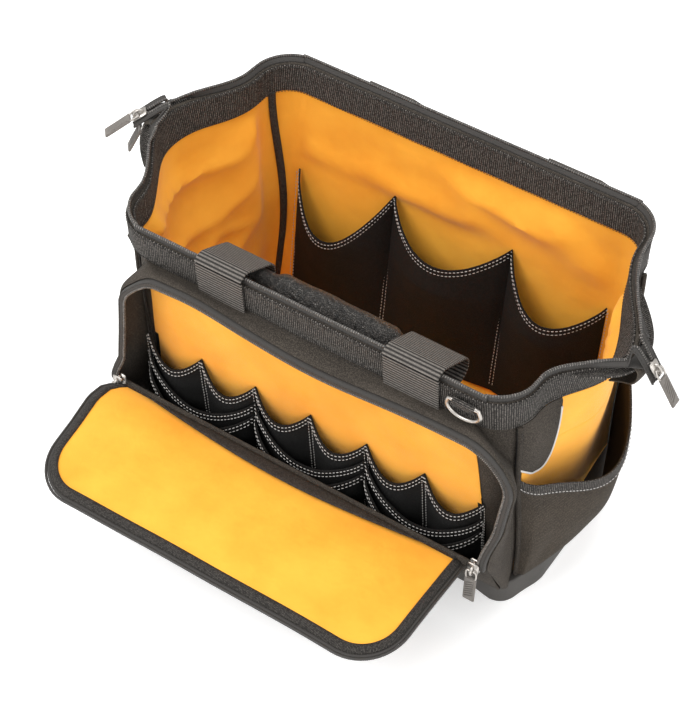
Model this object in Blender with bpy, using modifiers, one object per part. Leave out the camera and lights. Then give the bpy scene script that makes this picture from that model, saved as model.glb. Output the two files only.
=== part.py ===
"""Open-mouth fabric tool bag with a drop-front organiser pocket, a side pocket at each end, two web handles and zips.

The bag stands on z = 0 with its mouth up. X runs along the bag, -Y is the front with the organiser pocket.
The mouth is unzipped, the front handle lies over the mouth edge, and the flap of the front pocket is open.
All sizes are in metres.
"""

import math

import bmesh
import bpy
from mathutils import Matrix, Vector

# Whole bag: outer face of the fabric shell
BODY_LENGTH = 0.414
BODY_DEPTH = 0.208
END_FLARE = 0.005
FRONT_FLARE = 0.015
BACK_FLARE = 0.044
MOUTH_HEIGHT = 0.290
BACK_RISE = 0.007
END_BULGE = 0.034
END_DROP = {-1: -0.010, 1: 0.012}
TIP_FLARE = {-1: 0.001, 1: 0.014}
BASE_CORNER_RADIUS = 0.012
MOUTH_CORNER_RADIUS = 0.040
SEAT_GAP = 0.0003

# Fabric, webbing and board thicknesses
SHELL_THICKNESS = 0.003
LINING_THICKNESS = 0.001
WEBBING_THICKNESS = 0.0016
STRAP_THICKNESS = 0.002
POCKET_FABRIC_THICKNESS = 0.0016
BOARD_THICKNESS = 0.0025
BINDING_THICKNESS = 0.0012

# Base tray
TRAY_HEIGHT = 0.028
TRAY_THICKNESS = 0.0025
TRAY_EDGE_RADIUS = 0.004

# Mouth hem, corner seams and mouth zip
HEM_HEIGHT = 0.033
BINDING_START_SHARE = 0.25
PIPING_RADIUS = 0.002
ZIP_TAPE_THICKNESS = 0.0014
ZIP_TAPE_WIDTH = 0.005
COIL_SIZE = 0.003
COIL_HALF_SPACING = 0.0017
ARM_SHARES = (0.35, 0.7)
TIP_REACH = {-1: 0.010, 1: 0.014}
TIP_LIFT = 0.0025
TIP_DROOP = {"left": math.radians(34), "right": math.radians(58)}
TIP_YAW = {"left": math.radians(42), "right": 0}
STRIP_DROP = 0.004
STRIP_HALF_LENGTH_SHARE = 0.62
TAB_WIDTH = 0.022
TAB_DEPTH = 0.034

# Zip slider and pull
SLIDER_LENGTH = 0.016
SLIDER_WIDTH = 0.012
SLIDER_PLATE = 0.0015
SLIDER_CHANNEL = 0.0038
SLIDER_WEB = 0.0018
CROWN_LENGTH = 0.010
CROWN_HEIGHT = 0.0058
CROWN_RADIUS = 0.0011
PULL_PIVOT_HEIGHT = 0.0019
PULL_LENGTH = 0.040
PULL_WIDTH = 0.012
PULL_THICKNESS = 0.0022
PULL_BAR = 0.0018
PULL_SLOT_LENGTH = 0.0072
PULL_SLOT_WIDTH = 0.0056
LOWER_PULL_SWING = math.radians(28)

# Front organiser pocket
POCKET_BOTTOM = 0.031
POCKET_DEPTH_BASE = 0.012
POCKET_DEPTH_LOW = 0.040
POCKET_DEPTH_TOP = 0.020
POCKET_END_REACH = 0.002
POCKET_HALF_WIDTH = BODY_LENGTH / 2 + POCKET_END_REACH
POCKET_CORNER_RADIUS = 0.045
HINGE_HEIGHT = 0.097
HINGE_GAP = 0.003
POCKET_BELLY = 0.013
POCKET_TAPE_TURN = 0.007
POCKET_COIL_REACH = 0.0054

# Organiser loops in the front pocket, row by row from the wall outwards
ROW_BOTTOM = 0.046
ROW_FULL_HEIGHT = 0.071
ROW_FOOT_SHARE = 0.1
ROW_SIDE_CLEARANCE = 0.023
ROW_HALF_WIDTH = POCKET_HALF_WIDTH - ROW_SIDE_CLEARANCE
UPPER_ROW_PEAK = 0.142
UPPER_ROW_DROOP = 0.022
UPPER_ROW_BULGE = 0.012
MIDDLE_ROW_PEAK = 0.120
MIDDLE_ROW_DROOP = 0.030
MIDDLE_ROW_BULGE = 0.020
LOWER_ROW_PEAK = 0.104
LOWER_ROW_DROOP = 0.026
LOWER_ROW_BULGE = 0.029
SOFT_LOOP_POWER = 1.0
FULL_LOOP_POWER = 0.6
BACK_LOOP_POWER = 0.8
ROWS = (
    ("organiser_upper_row", 6, UPPER_ROW_PEAK, UPPER_ROW_DROOP, UPPER_ROW_BULGE, SOFT_LOOP_POWER),
    ("organiser_middle_row", 3, MIDDLE_ROW_PEAK, MIDDLE_ROW_DROOP, MIDDLE_ROW_BULGE, FULL_LOOP_POWER),
    ("organiser_lower_row", 3, LOWER_ROW_PEAK, LOWER_ROW_DROOP, LOWER_ROW_BULGE, FULL_LOOP_POWER),
)

# Flap of the front pocket
FLAP_LENGTH = 0.130
FLAP_SIDE_CLEARANCE = 0.023
FLAP_HALF_WIDTH = POCKET_HALF_WIDTH - FLAP_SIDE_CLEARANCE
FLAP_CORNER_RADIUS = 0.040
FLAP_REST_ANGLE = math.radians(6)
FLAP_PANEL_THICKNESS = 0.0026
FLAP_BINDING_WIDTH = 0.012

# Pockets on the inside of the back wall
INNER_POCKET_SEAM_SHARES = (-0.85, -0.307, 0.336, 0.85)
INNER_POCKET_BOTTOM = 0.012
INNER_POCKET_PEAK = 0.193
INNER_POCKET_PEAK_SHARES = (0.90, 1.0, 0.995, 0.91)
INNER_POCKET_DROOP = 0.049
INNER_POCKET_DROOP_SHARES = (1.0, 0.55, 0.57)
INNER_POCKET_FULL_HEIGHT = 0.134
INNER_POCKET_BULGE = 0.036
INNER_POCKET_FOOT_SHARE = 0.12

# Slip pocket at each end
SIDE_POCKET_BOTTOM = 0.031
SIDE_POCKET_PEAK = 0.172
SIDE_POCKET_DROOP = 0.034
SIDE_POCKET_BULGE = {"left": 0.014, "right": 0.032}
SIDE_POCKET_FOOT_SHARE = 0.06
SIDE_LINING_TOP = 0.200

# Handles
HANDLE_SHIFT = 0.015
STRAP_SPACING_SHARE = 0.466
STRAP_WIDTH = 0.060
STRAP_STEP_DROP = 0.004
GRIP_RADIUS = 0.012
GRIP_LENGTH = 0.176
GRIP_END_RADIUS = 0.0095
GRIP_REACH = 0.030
GRIP_DROP = 0.018
ARC_START = math.radians(122)
BACK_AXIS_CLEARANCE = 0.0015
BACK_GRIP_REACH = 0.022
BACK_GRIP_DROP = 0.045

# D-rings for a shoulder strap
RING_WIRE_RADIUS = 0.002
RING_WIDTH = 0.037
RING_HEIGHT = 0.022
RING_STRAP_CLEARANCE = 0.007
RING_LOOP_WIDTH = 0.022
RING_LOOP_LENGTH = 0.008
RING_HEIGHT_BELOW_EDGE = 0.006

# Facets
ARC_STEPS = 4
END_STEPS = 8
LINE_STEPS = 4
ROW_LEVELS = 4
ROUND_STEPS = 12

MATERIALS = {
    "shell_fabric": ((0.030, 0.030, 0.032), 0.90, 0.0),
    "lining_fabric": ((0.860, 0.420, 0.040), 0.80, 0.0),
    "pocket_fabric": ((0.014, 0.014, 0.015), 0.85, 0.0),
    "webbing": ((0.040, 0.040, 0.042), 0.88, 0.0),
    "base_rubber": ((0.055, 0.052, 0.050), 0.60, 0.0),
    "board_plastic": ((0.020, 0.020, 0.020), 0.50, 0.0),
    "zip_tape": ((0.045, 0.045, 0.047), 0.75, 0.0),
    "nickel": ((0.700, 0.680, 0.650), 0.25, 1.0),
    "pull_rubber": ((0.160, 0.150, 0.145), 0.55, 0.0),
    "grip_leather": ((0.040, 0.038, 0.036), 0.40, 0.0),
}


def lerp(low, high, share):
    return low + (high - low) * share


# Scene and objects
def clear_scene():
    for obj in list(bpy.data.objects):
        bpy.data.objects.remove(obj, do_unlink=True)


def make_material(name):
    colour, roughness, metallic = MATERIALS[name]
    material = bpy.data.materials.new(name)
    material.use_nodes = True
    shader = material.node_tree.nodes["Principled BSDF"]
    shader.inputs["Base Color"].default_value = (*colour, 1)
    shader.inputs["Roughness"].default_value = roughness
    shader.inputs["Metallic"].default_value = metallic
    material.diffuse_color = (*colour, 1)
    return material


def collection(name):
    made = bpy.data.collections.new(name)
    bpy.context.scene.collection.children.link(made)
    return made


def add_object(name, data, slot, matrix=None):
    """One named sub-part with its material, in the bag's collection."""
    obj = bpy.data.objects.new(name, data)
    if matrix is not None:
        obj.matrix_world = matrix
    if not data.materials:
        data.materials.append(bpy.data.materials.get(slot) or make_material(slot))
    bpy.data.collections["tool_bag"].objects.link(obj)
    return obj


def closed_mesh(name, bm):
    bmesh.ops.remove_doubles(bm, verts=bm.verts, dist=SEAT_GAP / 100)
    bmesh.ops.recalc_face_normals(bm, faces=bm.faces)
    mesh = bpy.data.meshes.new(name)
    bm.to_mesh(mesh)
    bm.free()
    mesh.shade_smooth()
    mesh.set_sharp_from_angle(angle=math.radians(35))
    return mesh


def evaluated_mesh(obj):
    """A closed mesh of a curve or of an object with modifiers, which it replaces."""
    graph = bpy.context.evaluated_depsgraph_get()
    mesh = bpy.data.meshes.new_from_object(obj.evaluated_get(graph))
    bm = bmesh.new()
    bm.from_mesh(mesh)
    bm.transform(obj.matrix_world)
    name = obj.name
    bpy.data.objects.remove(obj, do_unlink=True)
    bpy.data.meshes.remove(mesh)
    return closed_mesh(name, bm)


# Lofts
def add_quad(bm, a, b, c, d):
    """Two triangles, split along the diagonal that lies further out, so that layers over each other split alike."""
    first, second = (a.co + c.co) / 2, (b.co + d.co) / 2
    if first.xy.length > second.xy.length:
        bm.faces.new((a, b, c))
        bm.faces.new((a, c, d))
    else:
        bm.faces.new((a, b, d))
        bm.faces.new((b, c, d))


def loft_mesh(name, rings, capped=True):
    """A solid through closed rings of points. The first and last rings are capped, or joined to each other."""
    bm = bmesh.new()
    loops = [[bm.verts.new(p) for p in ring] for ring in rings]
    count = len(loops[0])
    for low, high in zip(loops, loops[1:]):
        for i in range(count):
            j = (i + 1) % count
            add_quad(bm, low[i], low[j], high[j], high[i])
    if capped:
        bm.faces.new(loops[0])
        bm.faces.new(loops[-1])
    else:
        for i in range(count):
            j = (i + 1) % count
            add_quad(bm, loops[-1][i], loops[-1][j], loops[0][j], loops[0][i])
    return closed_mesh(name, bm)


def ring_loft(name, rings, slot, capped=True):
    return add_object(name, loft_mesh(name, rings, capped), slot)


def wall_mesh(name, outer, inner):
    """A closed wall between two grids of points that have the same rows and columns."""
    bm = bmesh.new()
    front = [[bm.verts.new(p) for p in row] for row in outer]
    back = [[bm.verts.new(p) for p in row] for row in inner]
    rows, columns = len(front), len(front[0])
    for i in range(rows - 1):
        for j in range(columns - 1):
            add_quad(bm, front[i][j], front[i][j + 1], front[i + 1][j + 1], front[i + 1][j])
            add_quad(bm, back[i][j], back[i + 1][j], back[i + 1][j + 1], back[i][j + 1])
    edge = [(0, j) for j in range(columns)] + [(i, columns - 1) for i in range(1, rows)]
    edge += [(rows - 1, j) for j in range(columns - 2, -1, -1)] + [(i, 0) for i in range(rows - 2, 0, -1)]
    for (i, j), (k, m) in zip(edge, edge[1:] + edge[:1]):
        bm.faces.new((front[i][j], back[i][j], back[k][m], front[k][m]))
    return closed_mesh(name, bm)


def wall(name, outer, inner, slot):
    return add_object(name, wall_mesh(name, outer, inner), slot)


def ribbon_mesh(name, path, across, width, thickness):
    """Webbing along a path of points in a plane square to the across direction, centred on the path."""
    across = Vector(across).normalized()
    points = [Vector(p) for p in path]
    outer, inner = [], []
    for i, point in enumerate(points):
        before = (point - points[i - 1]).normalized() if i else None
        after = (points[i + 1] - point).normalized() if i < len(points) - 1 else None
        along = ((before or after) + (after or before)).normalized()
        normal = across.cross(along).normalized()
        stretch = 1 / max(along.dot(before or after), 0.5)
        for rows, side in ((outer, 1), (inner, -1)):
            place = point + normal * (side * thickness / 2 * stretch)
            rows.append([place - across * (width / 2), place + across * (width / 2)])
    return wall_mesh(name, outer, inner)


def ribbon(name, path, across, width, thickness, slot):
    return add_object(name, ribbon_mesh(name, path, across, width, thickness), slot)


def sweep(name, stations, section, slot):
    """A section of (across, up) points swept through stations of (place, across direction, up direction)."""
    rings = [[place + across * a + up * u for a, u in section] for place, across, up in stations]
    return ring_loft(name, rings, slot)


# The body's outline: a rounded rectangle at the base, with swelling ends at the mouth
def half_length(t):
    return BODY_LENGTH / 2 + END_FLARE * t


def half_depth(t, side=-1):
    """From the middle plane to the front (side -1) or back wall, which leans out further."""
    return BODY_DEPTH / 2 + (BACK_FLARE if side > 0 else FRONT_FLARE) * t


def corner_radius(t):
    return lerp(BASE_CORNER_RADIUS, MOUTH_CORNER_RADIUS, t)


def edge_height(y_share):
    """Height of the mouth edge, from y as a share of the half depth."""
    return MOUTH_HEIGHT + BACK_RISE * y_share


def level(height, side=-1):
    """The share of the mouth height at which the front (side -1) or back wall reaches this height."""
    return height / edge_height(side)


def corner_points(t, out, sx, sy, low=0, high=math.pi / 2, steps=ARC_STEPS):
    """Points round a corner, from the long wall (angle 0) to the end wall."""
    a, b, r = half_length(t), half_depth(t, sy), corner_radius(t)
    points = []
    for i in range(steps + 1):
        angle = lerp(low, high, i / steps)
        x = a - r + (r + out) * math.sin(angle)
        y = b - r + (r + out) * math.cos(angle)
        points.append(Vector((sx * x, sy * y, t * edge_height(sy))))
    return points


def end_swell(y_share, power=2):
    """How far an end wall swells, from 0 at its corners to 1 in its middle, straight between the stations."""
    place = (y_share + 1) / 2 * END_STEPS
    start = min(int(place), END_STEPS - 1)
    low, high = (math.sin(math.pi * i / END_STEPS) ** power for i in (start, start + 1))
    return lerp(low, high, place - start)


def end_shares(low=-1, high=1):
    inner = [-1 + 2 * i / END_STEPS for i in range(1, END_STEPS)]
    return [low] + [share for share in inner if low < share < high] + [high]


def end_x(t, y_share, sx, out=0):
    """How far an end wall reaches, with its hem leaning out further towards the end of the zip."""
    flare = TIP_FLARE[sx] * max(t - HEM_LEVEL, 0) / (1 - HEM_LEVEL)
    return half_length(t) + out + END_BULGE * t * end_swell(y_share) + flare * end_swell(y_share, 4)


def end_points(t, out, sx, low=-1, high=1):
    """Points along an end wall from front to back."""
    r = corner_radius(t)
    points = []
    for share in end_shares(low, high):
        b = half_depth(t, share)
        swell = end_swell(share)
        height = edge_height(share) - END_DROP[sx] * swell
        points.append(Vector((sx * end_x(t, share, sx, out), share * (b - r), t * height)))
    return points


def line_points(t, out, sy, steps=LINE_STEPS):
    """Points along the front (sy -1) or back wall from left to right, between the corner arcs."""
    a, b, r = half_length(t), half_depth(t, sy), corner_radius(t)
    return [
        Vector((lerp(-(a - r), a - r, i / steps), sy * (b + out), t * edge_height(sy))) for i in range(steps + 1)
    ]


def outline(t, out):
    """The whole outline as one closed ring, counter-clockwise from the front left corner."""
    ring = line_points(t, out, -1)
    ring += corner_points(t, out, 1, -1)[1:]
    ring += end_points(t, out, 1)[1:]
    ring += corner_points(t, out, 1, 1)[::-1][1:]
    ring += line_points(t, out, 1)[::-1][1:]
    ring += corner_points(t, out, -1, 1)[1:]
    ring += end_points(t, out, -1)[::-1][1:]
    ring += corner_points(t, out, -1, -1)[::-1][1:-1]
    return ring


SHELL_FOOT = TRAY_THICKNESS + SEAT_GAP
BOARD_TOP = SHELL_FOOT + BOARD_THICKNESS
LINING_FLOOR = BOARD_TOP + SEAT_GAP
LINING_OUT = -(SHELL_THICKNESS + SEAT_GAP)
LINING_IN = LINING_OUT - LINING_THICKNESS
HEM_OUT = SEAT_GAP + WEBBING_THICKNESS
HEM_IN = LINING_IN - SEAT_GAP - WEBBING_THICKNESS
HEM_LEVEL = 1 - HEM_HEIGHT / MOUTH_HEIGHT
ZIP_HEIGHT = SEAT_GAP + ZIP_TAPE_WIDTH + COIL_SIZE


def wall_levels(low, high):
    """Shares of the mouth height between these two, with the shared stations at which every layer is split."""
    shared = (level(POCKET_BOTTOM), level(SIDE_LINING_TOP), HEM_LEVEL)
    return [low] + [t for t in shared if low < t < high] + [high]


def tray_and_board():
    gap = SEAT_GAP * 2
    out = gap + TRAY_THICKNESS
    rings = [
        outline(0, out - TRAY_EDGE_RADIUS),
        outline(level(TRAY_EDGE_RADIUS * 0.3), out - TRAY_EDGE_RADIUS * 0.3),
        outline(level(TRAY_EDGE_RADIUS), out),
        outline(level(TRAY_HEIGHT), out),
        outline(level(TRAY_HEIGHT), gap),
        outline(level(TRAY_THICKNESS), gap),
    ]
    ring_loft("base_tray", rings, "base_rubber")
    board = [outline(level(SHELL_FOOT), LINING_OUT), outline(level(BOARD_TOP), LINING_OUT)]
    ring_loft("stiffener_board", board, "board_plastic")


def shell_panels():
    foot = level(SHELL_FOOT)
    for name, sy in (("front_panel", -1), ("back_panel", 1)):
        grids = []
        for out in (0, -SHELL_THICKNESS):
            rows = []
            for t in wall_levels(foot, 1):
                row = corner_points(t, out, -1, sy)[::-1] + line_points(t, out, sy)[1:]
                rows.append(row + corner_points(t, out, 1, sy)[1:])
            grids.append(rows)
        wall(name, *grids, "shell_fabric")
    trim = SEAT_GAP / (BODY_DEPTH / 2 - BASE_CORNER_RADIUS)
    for name, sx in (("left_end_panel", -1), ("right_end_panel", 1)):
        grids = [
            [end_points(t, out, sx, low=-1 + trim, high=1 - trim) for t in wall_levels(foot, 1)]
            for out in (0, -SHELL_THICKNESS)
        ]
        wall(name, *grids, "shell_fabric")


def lining():
    rings = [outline(t, LINING_OUT) for t in wall_levels(level(LINING_FLOOR), 1)]
    rings += [outline(t, LINING_IN) for t in wall_levels(level(LINING_FLOOR + LINING_THICKNESS), 1)[::-1]]
    ring_loft("lining", rings, "lining_fabric")


def mouth_hem():
    for name, out, inside in (
        ("mouth_band_outer", HEM_OUT, SEAT_GAP),
        ("mouth_band_inner", LINING_IN - SEAT_GAP, HEM_IN),
    ):
        rings = [outline(HEM_LEVEL, out), outline(1, out), outline(1, inside), outline(HEM_LEVEL, inside)]
        ring_loft(name, rings, "webbing", capped=False)


def corner_seams():
    """Binding over the seams of the lining inside, and piping along the seams of the shell outside."""
    floor = level(LINING_FLOOR + LINING_THICKNESS + SEAT_GAP)
    hem_foot = HEM_LEVEL - SEAT_GAP / MOUTH_HEIGHT
    low = BINDING_START_SHARE * math.pi / 2
    high = (1 - BINDING_START_SHARE) * math.pi / 2
    for side, sx in (("left", -1), ("right", 1)):
        for face, sy in (("front", -1), ("back", 1)):
            grids = []
            for out in (LINING_IN - SEAT_GAP, LINING_IN - SEAT_GAP - BINDING_THICKNESS):
                levels = wall_levels(floor, hem_foot)
                grids.append([corner_points(t, out, sx, sy, low, high, 2) for t in levels])
            wall(f"{face}_{side}_corner_binding", *grids, "webbing")
            foot = level(TRAY_HEIGHT + SEAT_GAP)
            ends = [corner_points(t, SEAT_GAP + PIPING_RADIUS, sx, sy, steps=1)[-1] for t in (foot, hem_foot)]
            piping = tube(f"{face}_{side}_piping", ends, PIPING_RADIUS, 2)
            add_object(piping.name, piping, "shell_fabric")


def tube(name, points, radius, resolution=2, cyclic=False):
    """The mesh of a round tube along points, made as a bevelled curve with filled caps."""
    curve = bpy.data.curves.new(name, "CURVE")
    curve.dimensions = "3D"
    curve.bevel_depth = radius
    curve.bevel_resolution = resolution
    curve.use_fill_caps = True
    spline = curve.splines.new("POLY")
    spline.points.add(len(points) - 1)
    for target, point in zip(spline.points, points):
        target.co = (*point, 1)
    spline.use_cyclic_u = cyclic
    obj = bpy.data.objects.new(name, curve)
    bpy.data.collections["tool_bag"].objects.link(obj)
    bpy.context.view_layer.update()
    return evaluated_mesh(obj)


# The mouth zip
def zip_section():
    """Tape standing on the hem with the coil along its free edge, as (across, up) points."""
    half, bead = ZIP_TAPE_THICKNESS / 2, COIL_SIZE / 2
    foot, neck = SEAT_GAP, SEAT_GAP + ZIP_TAPE_WIDTH
    mid, top = neck + bead, neck + COIL_SIZE
    return [
        (-half, foot),
        (half, foot),
        (half, neck),
        (bead, mid - bead / 2),
        (bead, mid + bead / 2),
        (half, top),
        (-half, top),
        (-bead, mid + bead / 2),
        (-bead, mid - bead / 2),
        (-half, neck),
    ]


def tip_frame(side):
    """Where the mouth zip's slider starts at this end, and its length, width and crown directions."""
    sx = 1 if side == "right" else -1
    droop, yaw = TIP_DROOP[side], TIP_YAW[side]
    root = Vector((sx * (end_x(1, 0, sx) + TIP_REACH[sx]), 0, edge_height(0) - END_DROP[sx] + TIP_LIFT))
    flat = Vector((sx * math.cos(yaw), -math.sin(yaw), 0))
    along = flat * math.cos(droop) - Vector((0, 0, math.sin(droop)))
    width = Vector((-flat.y * sx, flat.x * sx, 0))
    crown = along.cross(width) * sx * -1
    if crown.z < 0:
        crown = -crown
    return root, along, width, crown


def zip_arm(side, sy):
    """Stations from the corner of the mouth to the end of the zip, as (place, across, up)."""
    sx = 1 if side == "right" else -1
    root, along, width, crown = tip_frame(side)
    lean = Vector((0, 0, 1))
    stations = []
    for i, place in enumerate(corner_points(1, -SHELL_THICKNESS / 2, sx, sy)):
        angle = math.pi / 2 * i / ARC_STEPS
        stations.append((place, Vector((sx * math.sin(angle), sy * math.cos(angle), 0)), lean))
    rim = end_points(1, -SHELL_THICKNESS / 2, sx)[::-sy]
    leave = END_STEPS // 4
    for k in range(1, leave + 1):
        across = (rim[k + 1] - rim[k - 1]).cross(lean).normalized()
        stations.append((rim[k] + lean * SEAT_GAP, across * math.copysign(1, across.x * sx), lean))
    base = ZIP_HEIGHT + COIL_HALF_SPACING
    entry = root + width * (sy * base)
    end = root + along * (SLIDER_LENGTH + COIL_SIZE) + width * (sy * base)
    start = stations[-1][0]
    arm = (entry - start).normalized()
    inward = lean.cross(arm) * (sx * -sy)
    inward *= math.copysign(1, inward.dot(-start))
    for share in ARM_SHARES:
        up = (lean * (1 - share) + inward * share).normalized()
        across = up.cross(arm).normalized()
        across *= math.copysign(1, across.dot(stations[0][1]))
        place = start.lerp(entry, share)
        place.z += SEAT_GAP
        stations.append((place, across, up))
    for place in (entry + along * SLIDER_PLATE, end):
        stations.append((place, crown, width * -sy))
    return stations


def mouth_zip():
    for name, sy in (("front_zip_tape", -1), ("back_zip_tape", 1)):
        left, right = zip_arm("left", sy), zip_arm("right", sy)
        middle = []
        for place in line_points(1, -SHELL_THICKNESS / 2, sy)[1:-1]:
            middle.append((place, Vector((0, sy, 0)), Vector((0, 0, 1))))
        stations = left[::-1] + middle + right
        sweep(name, stations, zip_section(), "zip_tape")


def end_tabs():
    """Webbing that fills the end of the mouth between hem and zip, with the tail that hangs under the slider."""
    reach = STRIP_HALF_LENGTH_SHARE
    for side, sx in (("left", -1), ("right", 1)):
        root = tip_frame(side)[0]
        hem = end_points(1, HEM_OUT + SEAT_GAP, sx, low=-reach, high=reach)
        drop = Vector((0, 0, STRIP_DROP))
        tip = abs(root.x) - SLIDER_PLATE * 3
        grids = []
        for shift in (0, -WEBBING_THICKNESS):
            rows = []
            for share, point in zip(end_shares(-reach, reach), hem):
                fade = 1 - abs(share) / reach
                edge = lerp(abs(point.x) + SEAT_GAP * 10, tip, fade)
                low = Vector((point.x, point.y, point.z + shift)) - drop
                high = Vector((sx * edge, point.y, lerp(point.z, root.z, fade) + shift)) - drop
                rows.append([low, high])
            grids.append(rows)
        strip = wall_mesh("strip", *grids)
        half = STRAP_THICKNESS / 2
        z = root.z - STRIP_DROP - half
        foot = level(z - TAB_DEPTH)
        path = [
            (sx * (tip - half), 0, z + half / 2),
            (sx * (tip - half), 0, z - TAB_DEPTH * 0.3),
            (sx * (end_x(foot, 0, sx) + HEM_OUT + SEAT_GAP + half), 0, z - TAB_DEPTH),
        ]
        tail = ribbon_mesh("tail", path, (0, 1, 0), TAB_WIDTH, STRAP_THICKNESS)
        name = f"{side}_end_tab"
        add_object(name, union(name, strip, tail), "shell_fabric")


# Zip sliders and pulls
def slider_mesh():
    """The slider at the origin: length along X, width along Y, crown towards +Z."""
    half_gap = SLIDER_CHANNEL / 2
    top = half_gap + SLIDER_PLATE
    half_width, half_web = SLIDER_WIDTH / 2, SLIDER_WEB / 2
    profile = [
        (-half_width, -top),
        (half_width, -top),
        (half_width, -half_gap),
        (half_web, -half_gap),
        (half_web, half_gap),
        (half_width, half_gap),
        (half_width, top),
        (-half_width, top),
        (-half_width, half_gap),
        (-half_web, half_gap),
        (-half_web, -half_gap),
        (-half_width, -half_gap),
    ]
    ends = (-SLIDER_LENGTH / 2, SLIDER_LENGTH / 2)
    body = loft_mesh("slider_body", [[Vector((x, y, z)) for y, z in profile] for x in ends])
    foot, spring = half_gap + SLIDER_PLATE / 2, top + CROWN_RADIUS / 2
    bow = arc(0, spring, CROWN_LENGTH / 2, math.pi, 0, ROUND_STEPS // 2)
    squash = (CROWN_HEIGHT - CROWN_RADIUS * 1.5) / (CROWN_LENGTH / 2)
    path = [(-CROWN_LENGTH / 2, 0, foot)]
    path += [(x, 0, spring + (z - spring) * squash) for x, z in bow]
    path += [(CROWN_LENGTH / 2, 0, foot)]
    return union("slider", body, tube("slider_crown", path, CROWN_RADIUS, 1))


def flat_outline(name, outlines, thickness):
    """A curve object filled between flat outlines in its XY plane, this thick, centred on the plane."""
    curve = bpy.data.curves.new(name, "CURVE")
    curve.dimensions = "2D"
    curve.fill_mode = "BOTH"
    curve.extrude = thickness / 2
    for points in outlines:
        spline = curve.splines.new("POLY")
        spline.points.add(len(points) - 1)
        for target, (x, y) in zip(spline.points, points):
            target.co = (x, y, 0, 1)
        spline.use_cyclic_u = True
    obj = bpy.data.objects.new(name, curve)
    bpy.data.collections["tool_bag"].objects.link(obj)
    return obj


def union(name, first, second):
    """One mesh from two that overlap."""
    base = bpy.data.objects.new(name, first)
    other = bpy.data.objects.new(name + "_joined", second)
    for obj in (base, other):
        bpy.data.collections["tool_bag"].objects.link(obj)
    modifier = base.modifiers.new("join", "BOOLEAN")
    modifier.operation = "UNION"
    modifier.solver = "EXACT"
    modifier.object = other
    bpy.context.view_layer.update()
    mesh = evaluated_mesh(base)
    bpy.data.objects.remove(other, do_unlink=True)
    return mesh


def rounded_rectangle(x0, x1, y0, y1, radius, steps=2):
    points = []
    corners = ((x1 - radius, y0 + radius, -90), (x1 - radius, y1 - radius, 0))
    corners += ((x0 + radius, y1 - radius, 90), (x0 + radius, y0 + radius, 180))
    for cx, cy, start in corners:
        for i in range(steps + 1):
            angle = math.radians(start + 90 * i / steps)
            points.append((cx + radius * math.cos(angle), cy + radius * math.sin(angle)))
    return points


def pull_mesh():
    """The pull lying along +X from its bar, which is centred on the origin along Y."""
    start = -PULL_BAR / 2
    outer = rounded_rectangle(start, start + PULL_LENGTH, -PULL_WIDTH / 2, PULL_WIDTH / 2, PULL_BAR / 2)
    half = PULL_SLOT_WIDTH / 2
    slot_start = PULL_BAR / 2
    slot = [
        (slot_start, -half),
        (slot_start + PULL_SLOT_LENGTH, -half),
        (slot_start + PULL_SLOT_LENGTH, half),
        (slot_start, half),
    ]
    obj = flat_outline("pull", [outer, slot], PULL_THICKNESS)
    bpy.context.view_layer.update()
    return evaluated_mesh(obj)


def frame_matrix(place, along, width, crown):
    matrix = Matrix((along, width, crown)).transposed().to_4x4()
    matrix.translation = place
    return matrix


def add_slider(name, mesh, place, along, crown):
    width = crown.cross(along)
    add_object(name, mesh, "nickel", frame_matrix(place, along, width, crown))


def add_pull(name, mesh, slider_place, along, crown, swing=0):
    """A pull on the slider's crown, turned away from the slider by the swing."""
    lift = SLIDER_CHANNEL / 2 + SLIDER_PLATE + PULL_PIVOT_HEIGHT
    pivot = slider_place + crown * lift
    width = crown.cross(along)
    turned = along * math.cos(swing) + crown * math.sin(swing)
    add_object(name, mesh, "pull_rubber", frame_matrix(pivot, turned, width, turned.cross(width)))


# The front pocket
def front_y(z):
    """Y of the shell's front face at a height."""
    return -half_depth(level(z))


def rim_depth(z):
    """How far the pocket's rim stands in front of the shell at a height."""
    if z < HINGE_HEIGHT:
        share = (z - POCKET_BOTTOM) / (HINGE_HEIGHT - POCKET_BOTTOM)
        return lerp(POCKET_DEPTH_BASE, POCKET_DEPTH_LOW, share)
    share = (z - HINGE_HEIGHT) / (POCKET_TOP - HINGE_HEIGHT)
    return lerp(POCKET_DEPTH_LOW, POCKET_DEPTH_TOP, share)


def rim_y(z):
    return front_y(z) - rim_depth(z)


POCKET_TOP = HEM_LEVEL * edge_height(-1) - SEAT_GAP - POCKET_FABRIC_THICKNESS


def arch_stations():
    """Up one side of the pocket, across the top and down the other, as (x, z, angle of the outward normal)."""
    radius = POCKET_CORNER_RADIUS
    side_top = POCKET_TOP - radius
    corner_x = POCKET_HALF_WIDTH - radius
    half = [(POCKET_HALF_WIDTH, z, 0) for z in (POCKET_BOTTOM, HINGE_HEIGHT, lerp(HINGE_HEIGHT, side_top, 0.5))]
    for i in range(ARC_STEPS + 2):
        angle = math.pi / 2 * i / (ARC_STEPS + 1)
        half.append((corner_x + radius * math.cos(angle), side_top + radius * math.sin(angle), angle))
    half.append((corner_x / 2, POCKET_TOP, math.pi / 2))
    middle = [(0, POCKET_TOP, math.pi / 2)]
    return half + middle + [(-x, z, math.pi - angle) for x, z, angle in reversed(half)]


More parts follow.
